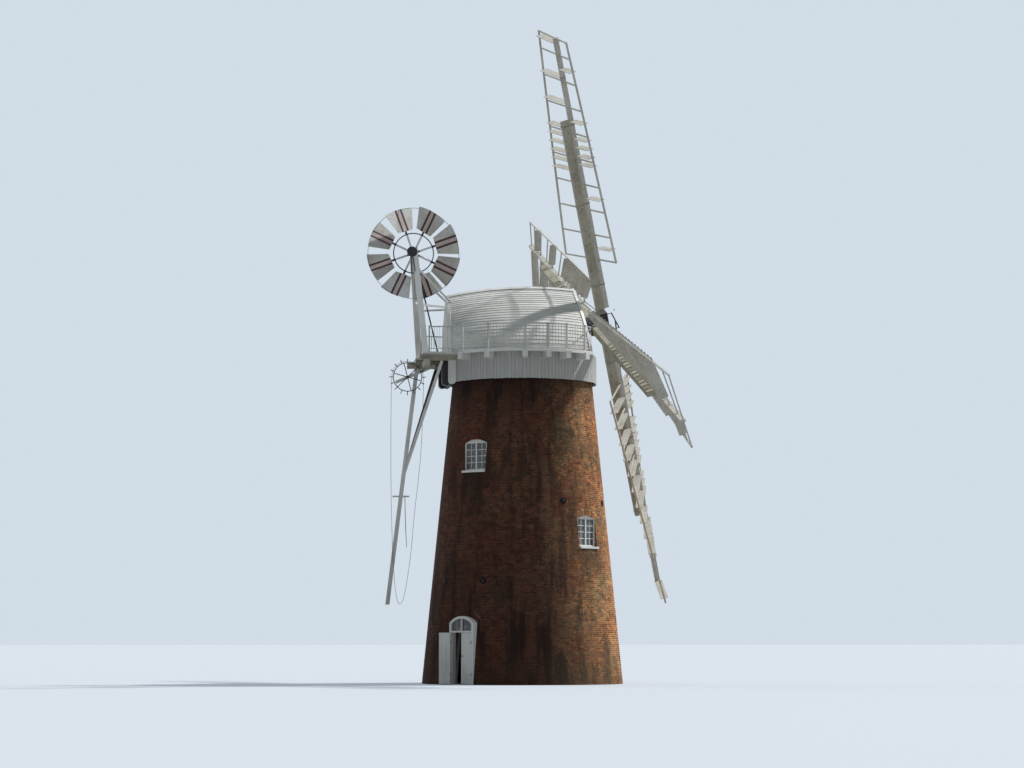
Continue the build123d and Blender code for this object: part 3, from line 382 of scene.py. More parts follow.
def paint_finish(finish, paint, dirt, wear, grain=(1, 1, 0.08), tone=0.0, rough=0.55, scale=1.0):
    """Old gloss paint on timber: dirt in broad patches, run marks, hairline grain and bare spots."""
    broad = finish.noise(0.9 * scale, 5, 0.6).between(0.35, 0.75)
    runs = finish.noise(7 * scale, 4, 0.6, grain).between(0.46, 0.74)
    fine = finish.noise(70, 4, 0.65, grain)
    bare = finish.noise(24, 5, 0.7, grain, 5.0).between(0.72 - 0.12 * wear, 0.8 - 0.12 * wear)
    shade = finish.layers(
        paint,
        (broad * 0.45 * wear + runs * 0.55 * wear, dirt),
        (finish.own_tone() * tone, dirt),
        (fine.between(0.5, 0.8) * 0.18, dirt),
        (bare * 0.7, "bare_wood"),
    )
    gloss = finish.noise(11, 3, 0.5).between(0.2, 0.8) * 0.18 + (rough - 0.06)
    height = fine * 0.6 + (1 - bare) * 0.4
    return finish.set(Base_Color=shade, Roughness=gloss + bare * 0.2, Normal=finish.bump(height, 0.0015))


def iron_finish(finish, iron, rust, rusting, shine=0.5):
    spots = finish.noise(9, 6, 0.7).between(0.62 - 0.2 * rusting, 0.78)
    fine = finish.noise(90, 4, 0.6)
    return finish.set(
        Base_Color=finish.mix(spots, iron, finish.mix(fine, rust, (0.05, 0.022, 0.014))),
        Metallic=(1 - spots) * 0.35,
        Roughness=spots * 0.32 + fine * 0.12 + 0.42,
        Specular_IOR_Level=shine,
        Normal=finish.bump(fine * 0.5 + spots * 0.5, 0.0015),
    )


def timber_finish(finish):
    """Bare sawn timber with upright grain."""
    grain = finish.noise(16, 6, 0.65, (1, 1, 0.1))
    amount = grain.between(0.35, 0.7) * 0.7 + finish.noise(1.4, 3, 0.5) * 0.3
    shade = finish.mix(amount, "floor_wood", numbers_of("floor_wood", 0.5))
    return finish.set(Base_Color=shade, Roughness=0.82, Normal=finish.bump(grain, 0.002))


def floor_finish(finish):
    """Boards side by side, with dark gaps and a tone for each board."""
    lane = finish.axes()[0] / 0.18
    gap = lane.seams(0.47, 0.49)
    grain = finish.noise(14, 6, 0.65, (1, 0.08, 1))
    amount = lane.lot() * 0.4 + grain.between(0.35, 0.7) * 0.4
    shade = finish.layers("floor_wood", (amount, numbers_of("floor_wood", 0.45)), (gap, (0.03, 0.022, 0.015)))
    return finish.set(Base_Color=shade, Roughness=0.8, Normal=finish.bump(grain * 0.3 + (1 - gap), 0.004))


def slab_finish(finish):
    x, y, _ = finish.axes()
    joints = x.math("MAXIMUM", (x / 0.6).seams(0.485, 0.495), (y / 0.45).seams(0.48, 0.492))
    grain = finish.noise(9, 6, 0.6)
    shade = finish.layers("stone", (grain, numbers_of("stone", 0.6)), (joints, (0.09, 0.08, 0.07)))
    return finish.set(Base_Color=shade, Roughness=0.85, Normal=finish.bump(grain * 0.3 + (1 - joints), 0.004))


def glass_finish(finish):
    """Old window glass: dusty, slightly wavy and nearly opaque, its dark colour painted shade of the rooms
    behind.
    """
    dust = finish.noise(5, 4, 0.6).between(0.4, 0.8)
    return finish.set(
        # Dark base colour: painted shade of the rooms behind the glass.
        Base_Color=finish.mix(dust, (0.055, 0.06, 0.065), (0.2, 0.2, 0.19)),
        Roughness=dust * 0.2 + 0.06,
        Specular_IOR_Level=0.6,
        Normal=finish.bump(finish.noise(3.5, 2, 0.4), 0.01),
        Alpha=0.93,
    )


def from_fan_axle(finish):
    """Distances from the fan's axle: to the side, up and in all."""
    _, y, z = finish.axes()
    side, up = y - FAN_CENTRE.y, z - FAN_CENTRE.z
    return side, up, (side * side + up * up) ** 0.5


def fan_finish(finish):
    """White blades with two dark red stripes each, laid along the blade's own arm."""
    side, up, radius = from_fan_axle(finish)
    blade = (up.math("ARCTAN2", side, up) - radians(FAN_START)) / FAN_STEP + 0.5
    turn = (blade % 1.0 - 0.5) * FAN_STEP
    offset = abs(radius * turn.math("SINE", turn))
    outside = offset.between(0.065, 0.07)
    broad = finish.noise(1.6, 5, 0.65).between(0.4, 0.75)
    spots = finish.noise(15, 5, 0.7).between(0.5, 0.68)
    worn = finish.noise(34, 4, 0.7, (1, 1, 1), 8.0).between(0.6, 0.68)
    stripe = outside * (1 - offset.between(0.145, 0.15)) * (1 - worn * 0.5)
    shade = finish.layers(
        "white_paint",
        ((blade % FAN_BLADES).lot() * 0.55 + broad * 0.35 + spots * 0.3, (0.24, 0.22, 0.17)),
        ((1 - outside) * 0.45, (0.42, 0.24, 0.22)),
        (stripe, finish.mix(spots * 0.3, "stripe", (0.14, 0.05, 0.045))),
    )
    fine = finish.noise(60, 3, 0.6)
    return finish.set(Base_Color=shade, Roughness=spots * 0.15 + 0.5, Normal=finish.bump(fine, 0.001))


def fan_wheel_finish(finish):
    """Black hub and ring of the fantail with grey spokes between them."""
    _, _, radius = from_fan_axle(finish)
    spoke = radius.between(0.25, 0.27) * (1 - radius.between(FAN_RING - 0.02, FAN_RING - 0.016))
    spots = finish.noise(9, 6, 0.7).between(0.5, 0.75)
    black = finish.mix(spots * 0.6, (0.01, 0.013, 0.024), "rust")
    grey = finish.mix(spots, (0.68, 0.68, 0.66), (0.42, 0.38, 0.32))
    return finish.set(Base_Color=finish.mix(spoke, black, grey), Roughness=spots * 0.2 + 0.45)


def braces_finish(finish):
    """Painted timber braces; the far one, on the +X side, is near black."""
    grain = finish.noise(18, 5, 0.65, (1, 1, 0.1))
    stains = finish.noise(2.4, 4, 0.6).between(0.45, 0.7)
    paint = finish.mix(stains * 0.6 + grain * 0.3, "white_paint", "grey_paint")
    dark_brace = finish.mix(grain, (0.018, 0.02, 0.024), (0.05, 0.048, 0.045))
    # The brace on the +X side is near black.
    shade = finish.mix(finish.axes()[0].between(-0.01, 0.01), paint, dark_brace)
    return finish.set(Base_Color=shade, Roughness=0.6, Normal=finish.bump(grain, 0.0015))


def deck_finish(finish):
    """Painted deck boards that run outwards from the tower's axis."""
    x, y, _ = finish.axes()
    lane = y.math("ARCTAN2", y, x) * (3.0 / 0.14)
    gap = lane.seams(0.465, 0.49)
    grain = finish.noise(20, 5, 0.65)
    shade = finish.layers(
        "white_paint", (lane.lot() * 0.4 + grain * 0.3, "grey_paint"), (gap, (0.08, 0.075, 0.065))
    )
    return finish.set(Base_Color=shade, Roughness=0.7, Normal=finish.bump(grain * 0.2 + (1 - gap), 0.004))


# How each finish is made, and the values that its function takes
FINISHES = {
    "brick": (brick_finish,),
    "mortar_and_limewash": (wall_finish,),
    "white_paint": (paint_finish, "white_paint", "grey_paint", 0.6),
    "sail_paint": (paint_finish, (0.56, 0.54, 0.48), (0.26, 0.24, 0.18), 0.95, (1, 1, 1), 0, 0.6, 1.6),
    "stock_paint": (paint_finish, "cream_paint", (0.17, 0.125, 0.08), 1.0, (1, 1, 1), 0, 0.7, 1.1),
    # Rail paint: white greyed partly by weathering and partly as painted shade.
    "rail_paint": (paint_finish, (0.5, 0.51, 0.5), (0.27, 0.26, 0.23), 0.8),
    "cap_paint": (paint_finish, "white_paint", (0.36, 0.345, 0.3), 0.9, (1, 0.1, 1), 0.5, 0.6, 0.8),
    "board_paint": (paint_finish, "white_paint", (0.36, 0.345, 0.3), 0.75, (1, 1, 0.08), 0.45),
    # Skirt paint: white paint greyed as painted shade of the gallery and sails over it, with dirt.
    "skirt_paint": (paint_finish, (0.42, 0.42, 0.395), (0.29, 0.285, 0.255), 0.5, (1, 1, 0.08), 0.2),
    "cream_timber": (paint_finish, "cream_paint", (0.2, 0.19, 0.14), 0.9, (1, 1, 1), 0, 0.65, 1.3),
    "black_iron": (iron_finish, "iron", "rust", 0.45),
    "weathered_iron": (iron_finish, (0.035, 0.03, 0.028), "rust", 0.9),
    "sooty_iron": (iron_finish, (0.006, 0.006, 0.007), (0.03, 0.014, 0.009), 0.4, 0.1),
    "painted_iron": (iron_finish, (0.3, 0.28, 0.23), (0.16, 0.085, 0.045), 1.2),
    "bare_timber": (timber_finish,),
    "floor_boards": (floor_finish,),
    "stone_floor": (slab_finish,),
    "window_glass": (glass_finish,),
    "fan_blades": (fan_finish,),
    "fan_wheel": (fan_wheel_finish,),
    "tail_braces": (braces_finish,),
    "deck_boards": (deck_finish,),
}


def material(name):
    """A finish by name, made the first time it is asked for."""
    made = bpy.data.materials.get(f"mill_{name}")
    if made is None:
        recipe, *values = FINISHES[name]
        made = recipe(Finish(name), *values)
    return made


# Modelling


def fresh(piece=None):
    """Leave edit mode with only this piece selected and active."""
    if bpy.context.object and bpy.context.object.mode != "OBJECT":
        bpy.ops.object.mode_set(mode="OBJECT")
    bpy.ops.object.select_all(action="DESELECT")
    if piece:
        piece.select_set(True)
        bpy.context.view_layer.objects.active = piece


@contextmanager
def editing(piece, kind="FACE"):
    """Edit mode on one piece with nothing selected; yields its editable mesh."""
    fresh(piece)
    bpy.ops.object.mode_set(mode="EDIT")
    bpy.ops.mesh.select_mode(type=kind)
    bpy.ops.mesh.select_all(action="DESELECT")
    yield bmesh.from_edit_mesh(piece.data)
    bpy.ops.object.mode_set(mode="OBJECT")


def pick_faces(mesh, test):
    """Select the faces whose normal passes a test."""
    for face in mesh.faces:
        face.select_set(test(face.normal))


def eased(unit, test, value):
    """Shrink the faces of a unit whose normal passes a test."""
    with editing(unit) as mesh:
        pick_faces(mesh, test)
        bpy.ops.transform.resize(value=value)


def named(piece, name):
    piece.name = piece.data.name = name
    return piece


def settled(piece):
    """The active piece with its place, turn and size moved into its mesh."""
    bpy.ops.object.transform_apply(location=True, rotation=True, scale=True)
    return piece


def block(size, bevel=0.0):
    """A squared timber or bar round the origin, with its edges eased."""
    fresh()
    bpy.ops.mesh.primitive_cube_add(size=1)
    piece = bpy.context.object
    piece.scale = size
    settled(piece)
    if bevel:
        with editing(piece, "EDGE"):
            bpy.ops.mesh.select_all(action="SELECT")
            bpy.ops.mesh.bevel(offset=bevel, segments=1)
    return piece


def round_bar(radius, depth, sides, bevel=0.0):
    """A round bar along Z, centred on the origin."""
    fresh()
    bpy.ops.mesh.primitive_cylinder_add(vertices=sides, radius=radius, depth=depth)
    piece = bpy.context.object
    if bevel:
        with editing(piece, "EDGE") as mesh:
            for edge in mesh.edges:
                edge.select_set(abs(edge.verts[0].co.z - edge.verts[1].co.z) < 1e-6)
            bpy.ops.mesh.bevel(offset=bevel, segments=1)
    return piece


def placed(piece, place, turn):
    """A piece turned about the origin and moved to its place."""
    piece.data.transform(Matrix.Translation(place) @ turn.to_4x4())
    return piece


def finished(piece, body, slot, finish, smooth=None, replaces=()):
    """Give a piece its finish and its body. The slot is not used."""
    piece.data.materials.clear()
    piece.data.materials.append(material(finish))
    if smooth:
        fresh(piece)
        bpy.ops.object.shade_smooth_by_angle(angle=radians(smooth))
    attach(piece, body)
    if replaces:
        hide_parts(*replaces)


def copies_group(unit):
    """Node group that sets copies of a unit at points, each turned and sized by its own values."""
    group = bpy.data.node_groups.new("copies", "GeometryNodeTree")
    for way in ("INPUT", "OUTPUT"):
        group.interface.new_socket("Geometry", in_out=way, socket_type="NodeSocketGeometry")
    points = group.nodes.new("NodeGroupInput")
    source = group.nodes.new("GeometryNodeObjectInfo")
    source.inputs["Object"].default_value = unit
    source.inputs["As Instance"].default_value = True
    place = group.nodes.new("GeometryNodeInstanceOnPoints")
    real = group.nodes.new("GeometryNodeRealizeInstances")
    out = group.nodes.new("NodeGroupOutput")
    link = group.links.new
    link(points.outputs[0], place.inputs["Points"])
    link(source.outputs["Geometry"], place.inputs["Instance"])
    for name, socket in (("turn", "Rotation"), ("size", "Scale")):
        value = group.nodes.new("GeometryNodeInputNamedAttribute")
        value.data_type = "FLOAT_VECTOR"
        value.inputs["Name"].default_value = name
        link(value.outputs["Attribute"], place.inputs[socket])
    link(place.outputs[0], real.inputs[0])
    link(real.outputs[0], out.inputs[0])
    return group


def copied(name, unit, rows):
    """Copies of one modelled unit in a single mesh. A row is a place, axes, size and tone."""
    if not rows:
        raise RuntimeError(f"{name} has no copies")
    places, turns, scales, tones = zip(*rows)
    mesh = bpy.data.meshes.new(name)
    mesh.from_pydata(places, [], [])
    for key, kind, field, values in (
        ("turn", "FLOAT_VECTOR", "vector", [part for turn in turns for part in turn.to_euler()]),
        ("size", "FLOAT_VECTOR", "vector", [part for scale in scales for part in scale]),
        ("tone", "FLOAT", "value", tones),
    ):
        mesh.attributes.new(key, kind, "POINT").data.foreach_set(field, values)
    piece = bpy.data.objects.new(name, mesh)
    bpy.context.collection.objects.link(piece)
    modifier = piece.modifiers.new("copies", "NODES")
    modifier.node_group = copies_group(unit)
    fresh(piece)
    bpy.ops.object.modifier_apply(modifier=modifier.name)
    for left in ("turn", "size"):
        piece.data.attributes.remove(piece.data.attributes[left])
    bpy.data.objects.remove(unit)
    return piece


def axes(x, y, z):
    """Rotation whose columns are the unit's own x, y and z."""
    return Matrix((x, y, z)).transposed()


def pointing(along, side):
    """Axes with z along a direction and x square to a side."""
    z = Vector(along).normalized()
    x = Vector(side).cross(z)
    if x.length < 1e-4:
        x = Vector((1, 0, 0)).cross(z)
    x.normalize()
    return axes(x, z.cross(x), z)


def spin(degrees, axis):
    return Matrix.Rotation(radians(degrees), 3, axis)


def row(place, turn=None, size=(1, 1, 1), tone=0.0):
    return (Vector(place), turn or Matrix.Identity(3), size, tone)


def between(start, end, side=(1, 0, 0)):
    """Row for a unit of length 1 along z that reaches from one point to another."""
    run = end - start
    return row((start + end) / 2, pointing(run, side), (1, 1, run.length))


def joined(name, pieces):
    """Several pieces made one mesh."""
    fresh(pieces[0])
    for piece in pieces[1:]:
        piece.select_set(True)
    bpy.ops.object.join()
    return named(pieces[0], name)


def sheet_grid(name, columns, rows, place):
    """A grid whose points are set by place(column share, row number)."""
    fresh()
    bpy.ops.mesh.primitive_grid_add(x_subdivisions=columns, y_subdivisions=rows, size=2)
    piece = named(bpy.context.object, name)
    for point in piece.data.vertices:
        point.co = place((point.co.x + 1) / 2, round((point.co.y + 1) / 2 * rows))
    return piece


def thickened(piece, thickness, offset=-1.0, outward=None):
    """A sheet made solid. Its faces are turned outwards before the wall gets its thickness."""
    if outward is not None:
        with editing(piece) as mesh:
            bpy.ops.mesh.select_all(action="SELECT")
            if mesh.faces[:][len(mesh.faces) // 2].normal.dot(outward) < 0:
                bpy.ops.mesh.flip_normals()
    solid = piece.modifiers.new("thickness", "SOLIDIFY")
    solid.thickness = thickness
    solid.offset = offset
    fresh(piece)
    bpy.ops.object.modifier_apply(modifier=solid.name)
    return piece


def around(radius, angle, height=0.0):
    return Vector((radius * cos(angle), radius * sin(angle), height))


def random_tone(middle, spread):
    return min(1, max(0, rng.gauss(middle, spread)))


# The tower's own shapes


def wall_radius(height):
    return BASE_RADIUS - BATTER * height


def wall_axes(angle):
    """x along the course, y out of the leaning wall and z down its face."""
    lean = atan2(BATTER, 1)
    out = around(cos(lean), angle, sin(lean))
    along = Vector((-sin(angle), cos(angle), 0))
    return axes(along, out, along.cross(out))


class Arch:
    """Arched opening in the wall with a ring of bricks on edge over it."""

    RING = 0.215

    def __init__(self, angle, low, width, height, rise, sill=0.0):
        self.angle = radians(angle)
        self.low = low - sill
        self.half = width / 2
        self.radius = width**2 / (8 * rise) + rise / 2
        self.middle = low + height - self.radius
        self.spring = low + height - rise
        self.spread = asin(self.half / self.radius)
        self.outer = self.radius + self.RING + 0.008

    def reach(self, height):
        """Half-width that the opening and its ring take from the courses at a height."""
        up = height - self.middle
        if height < self.low or up > self.outer:
            return 0.0
        if height < self.spring:
            return self.half
        if up < self.outer * cos(self.spread):
            return up * tan(self.spread)
        return sqrt(self.outer**2 - up**2)


def arches():
    window = (WINDOW_WIDTH, WINDOW_HEIGHT, WINDOW_RISE, WINDOW_SILL)
    door = Arch(DOOR_ANGLE, 0, DOOR_WIDTH, DOOR_HEIGHT, DOOR_RISE)
    return [Arch(*place, *window) for place in WINDOWS] + [door]


def free_spans(start, end, height, radius, openings):
    """Parts of a brick, as angles, that no opening takes."""
    spans = [(start, end)]
    for opening in openings:
        half = asin(opening.reach(height) / radius)
        if not half:
            continue
        kept = []
        for a, b in spans:
            middle = opening.angle + 2 * pi * round(((a + b) / 2 - opening.angle) / (2 * pi))
            low, high = middle - half, middle + half
            if b <= low or a >= high:
                kept.append((a, b))
                continue
            if a < low:
                kept.append((a, low))
            if b > high:
                kept.append((high, b))
        spans = kept
    return spans


def facing_plane(angle, distance, height):
    """Place on an upright plane that faces outwards, its own x, and axes: x along, y out and z down."""
    turn = radians(angle)
    out, along = around(1, turn), Vector((-sin(turn), cos(turn), 0))
    return around(distance, turn, height), along, axes(along, out, along.cross(out))


class MILL_OT_brickwork(bpy.types.Operator):
    """Brick courses in English bond round the tower"""

    bl_idname = "mill.brickwork"
    bl_label = "Brickwork"

    DEPTH, SHORTEST, UNEVEN = 0.02, 0.03, 0.0012

    def execute(self, context):
        s = sizes()
        joint = s.mortar_joint
        rise = s.brick_height + joint
        openings = arches()
        quarters = [[] for _ in range(4)]
        for course in range(int(WALL_TOP / rise)):
            height = (course + 0.5) * rise
            radius = wall_radius(height)
            pitch = (s.brick_length + joint) / (1 + course % 2)
            count = round(2 * pi * radius / pitch)
            step = 2 * pi / count
            lead = rng.random() * step
            for index in range(count):
                start = lead + index * step
                for a, b in free_spans(start, start + step, height, radius, openings):
                    face = (b - a) * radius - joint
                    if face < self.SHORTEST:
                        continue
                    angle = (a + b) / 2
                    out = radius + s.brick_proud - self.DEPTH / 2 + rng.uniform(-self.UNEVEN, self.UNEVEN)
                    tone = random_tone(0.5, 0.24)
                    size = (face / s.brick_length, 1, rng.uniform(0.975, 1.0))
                    brick = row(around(out, angle, height), wall_axes(angle), size, tone)
                    quarters[int(angle / (pi / 2)) % 4].append(brick)
        for index, rows in enumerate(quarters):
            unit = block((s.brick_length, self.DEPTH, s.brick_height))
            eased(unit, lambda normal: normal.y > 0.9, (0.98, 1, 0.93))
            finished(copied(f"brickwork_{index + 1}", unit, rows), "tower", "brick", "brick")
        return {"FINISHED"}


class MILL_OT_arches(bpy.types.Operator):
    """Rings of bricks on edge over the windows and the doorway"""

    bl_idname = "mill.arches"
    bl_label = "Arches"

    DEPTH, BEDDED = 0.024, 0.008

    def execute(self, context):
        s = sizes()
        rows = []
        for arch in arches():
            middle_radius = arch.radius + Arch.RING / 2
            count = ceil(2 * arch.spread * middle_radius / (s.brick_height + s.mortar_joint))
            for index in range(count):
                lean = -arch.spread + (index + 0.5) * 2 * arch.spread / count
                height = arch.middle + middle_radius * cos(lean)
                radius = wall_radius(height)
                angle = arch.angle + asin(middle_radius * sin(lean) / radius)
                place = around(radius + s.brick_proud - self.BEDDED, angle, height)
                turn = wall_axes(angle) @ Matrix.Rotation(lean, 3, "Y")
                rows.append(row(place, turn, (1, 1, 1), random_tone(0.6, 0.2)))
        unit = block((s.brick_height, self.DEPTH, Arch.RING))
        eased(unit, lambda normal: normal.y > 0.9, (0.94, 1, 0.98))
        eased(unit, lambda normal: normal.z < -0.9, (0.84, 1, 1))
        finished(copied("arch_bricks", unit, rows), "tower", "brick", "brick")
        return {"FINISHED"}


class MILL_OT_window_bars(bpy.types.Operator):
    """Glazing bars of the windows and drip moulds under their sills"""

    bl_idname = "mill.window_bars"
    bl_label = "Window bars"

    BAR, NOSE = 0.024, 0.022

    def execute(self, context):
        s = sizes()
        uprights, levels, noses = [], [], []
        light = WINDOW_WIDTH / 2 - WINDOW_BAR * 1.5
        rise = WINDOW_HEIGHT - WINDOW_RISE - WINDOW_BAR
        for angle, low in WINDOWS:
            face = wall_radius(low + WINDOW_HEIGHT) - WINDOW_REVEAL - WINDOW_DEPTH / 2
            base, along, turn = facing_plane(angle, face, low + WINDOW_BAR)
            for side in (-1, 1):
                centre = base + along * (side * (light + WINDOW_BAR) / 2)
                for column in range(1, s.pane_columns):
                    across = along * ((column / s.pane_columns - 0.5) * light)
                    uprights.append(row(centre + across + UP * (rise / 2), turn, (1, 1, rise)))
                for level in range(1, s.pane_rows):
                    levels.append(row(centre + UP * (rise * level / s.pane_rows), turn, (light, 1, 1)))
            place, _, turn = facing_plane(angle, wall_radius(low) + WINDOW_SILL_OUT - 0.008, low - 0.012)
            noses.append(row(place, turn))
        nose = (WINDOW_WIDTH - 0.01, self.NOSE, self.NOSE)
        pieces = [
            copied("glazing_uprights", block((self.BAR, 0.036, 1), 0.004), uprights),
            copied("glazing_levels", block((1, 0.034, self.BAR), 0.004), levels),
            copied("sill_noses", block(nose, 0.006), noses),
        ]
        finished(joined("window_bars", pieces), "tower", "white_paint", "white_paint")
        return {"FINISHED"}


def leaf_turn(side):
    """Rotation of a door leaf about its hinge from closed to how it stands."""
    place, along, _ = facing_plane(DOOR_ANGLE, DOOR_FACE + DOOR_HINGE_OUT, 0)
    hinge = Matrix.Translation(place + along * (side * DOOR_OPENING / 2))
    turn = LEFT_LEAF_TURN if side < 0 else 0
    return hinge @ spin(turn, "Z").to_4x4() @ hinge.inverted()


class MILL_OT_doorway(bpy.types.Operator):
    """Planks, ledges and braces of the two door leaves, and the latch"""

    bl_idname = "mill.doorway"
    bl_label = "Doorway"

    PLANKS, PLANK_OUT, LEAF_GAP = 4, 0.003, 0.005
    LEDGE_HEIGHTS, LEDGE_BACK = (0.25, 0.95, 1.65), -LEAF_THICKNESS - 0.011
    BRACE_HEIGHTS, BRACE_BACK = (0.6, 1.3), -LEAF_THICKNESS - 0.01
    BRACE_RUN, BRACE_RISE = LEAF_WIDTH - 0.1, 0.58
    LATCH_HEIGHT, LATCH_ACROSS, LATCH_OUT = 1.06, 0.06, 0.02

    def execute(self, context):
        plank = LEAF_WIDTH / self.PLANKS
        board, ledge = (plank - 0.006, 0.008, LEAF_HEIGHT - 0.01), (LEAF_WIDTH - 0.04, 0.022, 0.12)
        brace = (0.09, 0.02, sqrt(self.BRACE_RUN**2 + self.BRACE_RISE**2) - 0.05)
        for side, name in ((-1, "left"), (1, "right")):
            middle = side * (DOOR_OPENING / 2 - self.LEAF_GAP - LEAF_WIDTH / 2)
            lean = atan2(-side * self.BRACE_RUN, self.BRACE_RISE)
            lanes = [plank * (index + 0.5) - LEAF_WIDTH / 2 for index in range(self.PLANKS)]
            parts = [(lane, self.PLANK_OUT, LEAF_HEIGHT / 2, board, 0) for lane in lanes]
            parts += [(0, self.LEDGE_BACK, up, ledge, 0) for up in self.LEDGE_HEIGHTS]
            parts += [(0, self.BRACE_BACK, up, brace, lean) for up in self.BRACE_HEIGHTS]
            pieces = []
            for across, out, up, size, angle in parts:
                place, along, turn = facing_plane(DOOR_ANGLE, DOOR_FACE + out, LEAF_LOW + up)
                place += along * (middle + across)
                pieces.append(placed(block(size, 0.003), place, turn @ Matrix.Rotation(angle, 3, "Y")))
            door = joined(f"door_planks_{name}", pieces)
            door.data.transform(leaf_turn(side))
            finished(door, f"door_{name}", "white_paint", "board_paint")
        place, along, turn = facing_plane(DOOR_ANGLE, DOOR_FACE + self.LATCH_OUT, self.LATCH_HEIGHT)
        latch = named(round_bar(0.022, 0.05, 16, 0.006), "latch")
        placed(latch, place + along * self.LATCH_ACROSS, turn @ spin(90, "X"))
        finished(latch, "door_right", "black_iron", "black_iron", 40)
        return {"FINISHED"}


class MILL_OT_tie_nuts(bpy.types.Operator):
    """Nuts and raised ribs of the round iron tie plates"""

    bl_idname = "mill.tie_nuts"
    bl_label = "Tie plate nuts"

    def execute(self, context):
        nuts, ribs = [], []
        for direction, offset, height in TIE_PLATES:
            spread = asin(offset / wall_radius(height))
            for end in (0, pi):
                for side in (-1, 1):
                    angle = radians(direction) + end + side * spread
                    skin = wall_axes(angle)
                    along, normal, down = (skin.col[index] for index in range(3))
                    place = around(wall_radius(height) + TIE_PLATE_THICKNESS, angle, height)
                    nuts.append(row(place + normal * 0.012, axes(along, -down, normal)))
                    ribs += [row(place + normal * 0.004, skin @ spin(lean, "Y")) for lean in (45, 135)]
        pieces = [
            copied("plate_nuts", round_bar(0.03, 0.028, 6, 0.003), nuts),
            copied("plate_ribs", block((0.2, 0.012, 0.016), 0.003), ribs),
        ]
        finished(joined("tie_plate_nuts", pieces), "tower", "black_iron", "weathered_iron")
        return {"FINISHED"}


# The cap's own shapes


def cap_half_width(y):
    return CAP_HALF_WIDTH * sqrt(max(0.0, 1 - ((y - CAP_MIDDLE) / CAP_LENGTH_RADIUS) ** 2))


def cap_height(y):
    return RIDGE_TOP - DECK_TOP - RIDGE_RADIUS + sqrt(RIDGE_RADIUS**2 - (y - RIDGE_MIDDLE) ** 2)


def front_line(up):
    """Where the leaning front of the cap stands at a height above the deck."""
    return CAP_FRONT + tan(radians(CAP_FRONT_LEAN)) * up


class Shell:
    """The skin of one side of the cap, read from the frame's own solid."""

    def __init__(self, side):
        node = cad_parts["cap_side_left" if side < 0 else "cap_side_right"]
        self.side = side
        self.tree = BVHTree.FromObject(node, bpy.context.evaluated_depsgraph_get())

    def guess(self, y, share):
        width = cap_half_width(y) * (1 - share**CAP_CURVE)
        return Vector((self.side * width, y, DECK_TOP + cap_height(y) * share))

    def point(self, y, share, out):
        """Point over the skin; past the ends it carries on from the last skin."""
        front = front_line(cap_height(y) * share)
        inside = min(max(y, front + 0.03), CAP_REAR - 0.02)
        share = min(max(share, 0.002), 0.998)
        place = self.guess(inside, share)
        normal = (self.guess(inside, share + 0.001) - self.guess(inside, share - 0.001)).cross(
            self.guess(inside + 0.01, share) - self.guess(inside - 0.01, share)
        )
        normal = normal.normalized() * (1 if normal.x * self.side > 0 else -1)
        hit, _, _, _ = self.tree.ray_cast(place + normal * 0.6, -normal, 1.2)
        if hit is None:
            hit = self.tree.find_nearest(place)[0]
        return hit + normal * out + self.guess(y, share) - place


def board_lines(step):
    """Shares of the height at which the boards' lower edges run, evenly spaced up the skin."""
    steps = 400
    lines, run = [0.0], 0.0
    before = Vector((CAP_HALF_WIDTH, 0))
    for index in range(1, steps + 1):
        share = index / steps
        point = Vector((CAP_HALF_WIDTH * (1 - share**CAP_CURVE), cap_height(0) * share))
        run += (point - before).length
        before = point
        if run >= step:
            lines.append(share)
            run -= step
    return lines + [1.0]


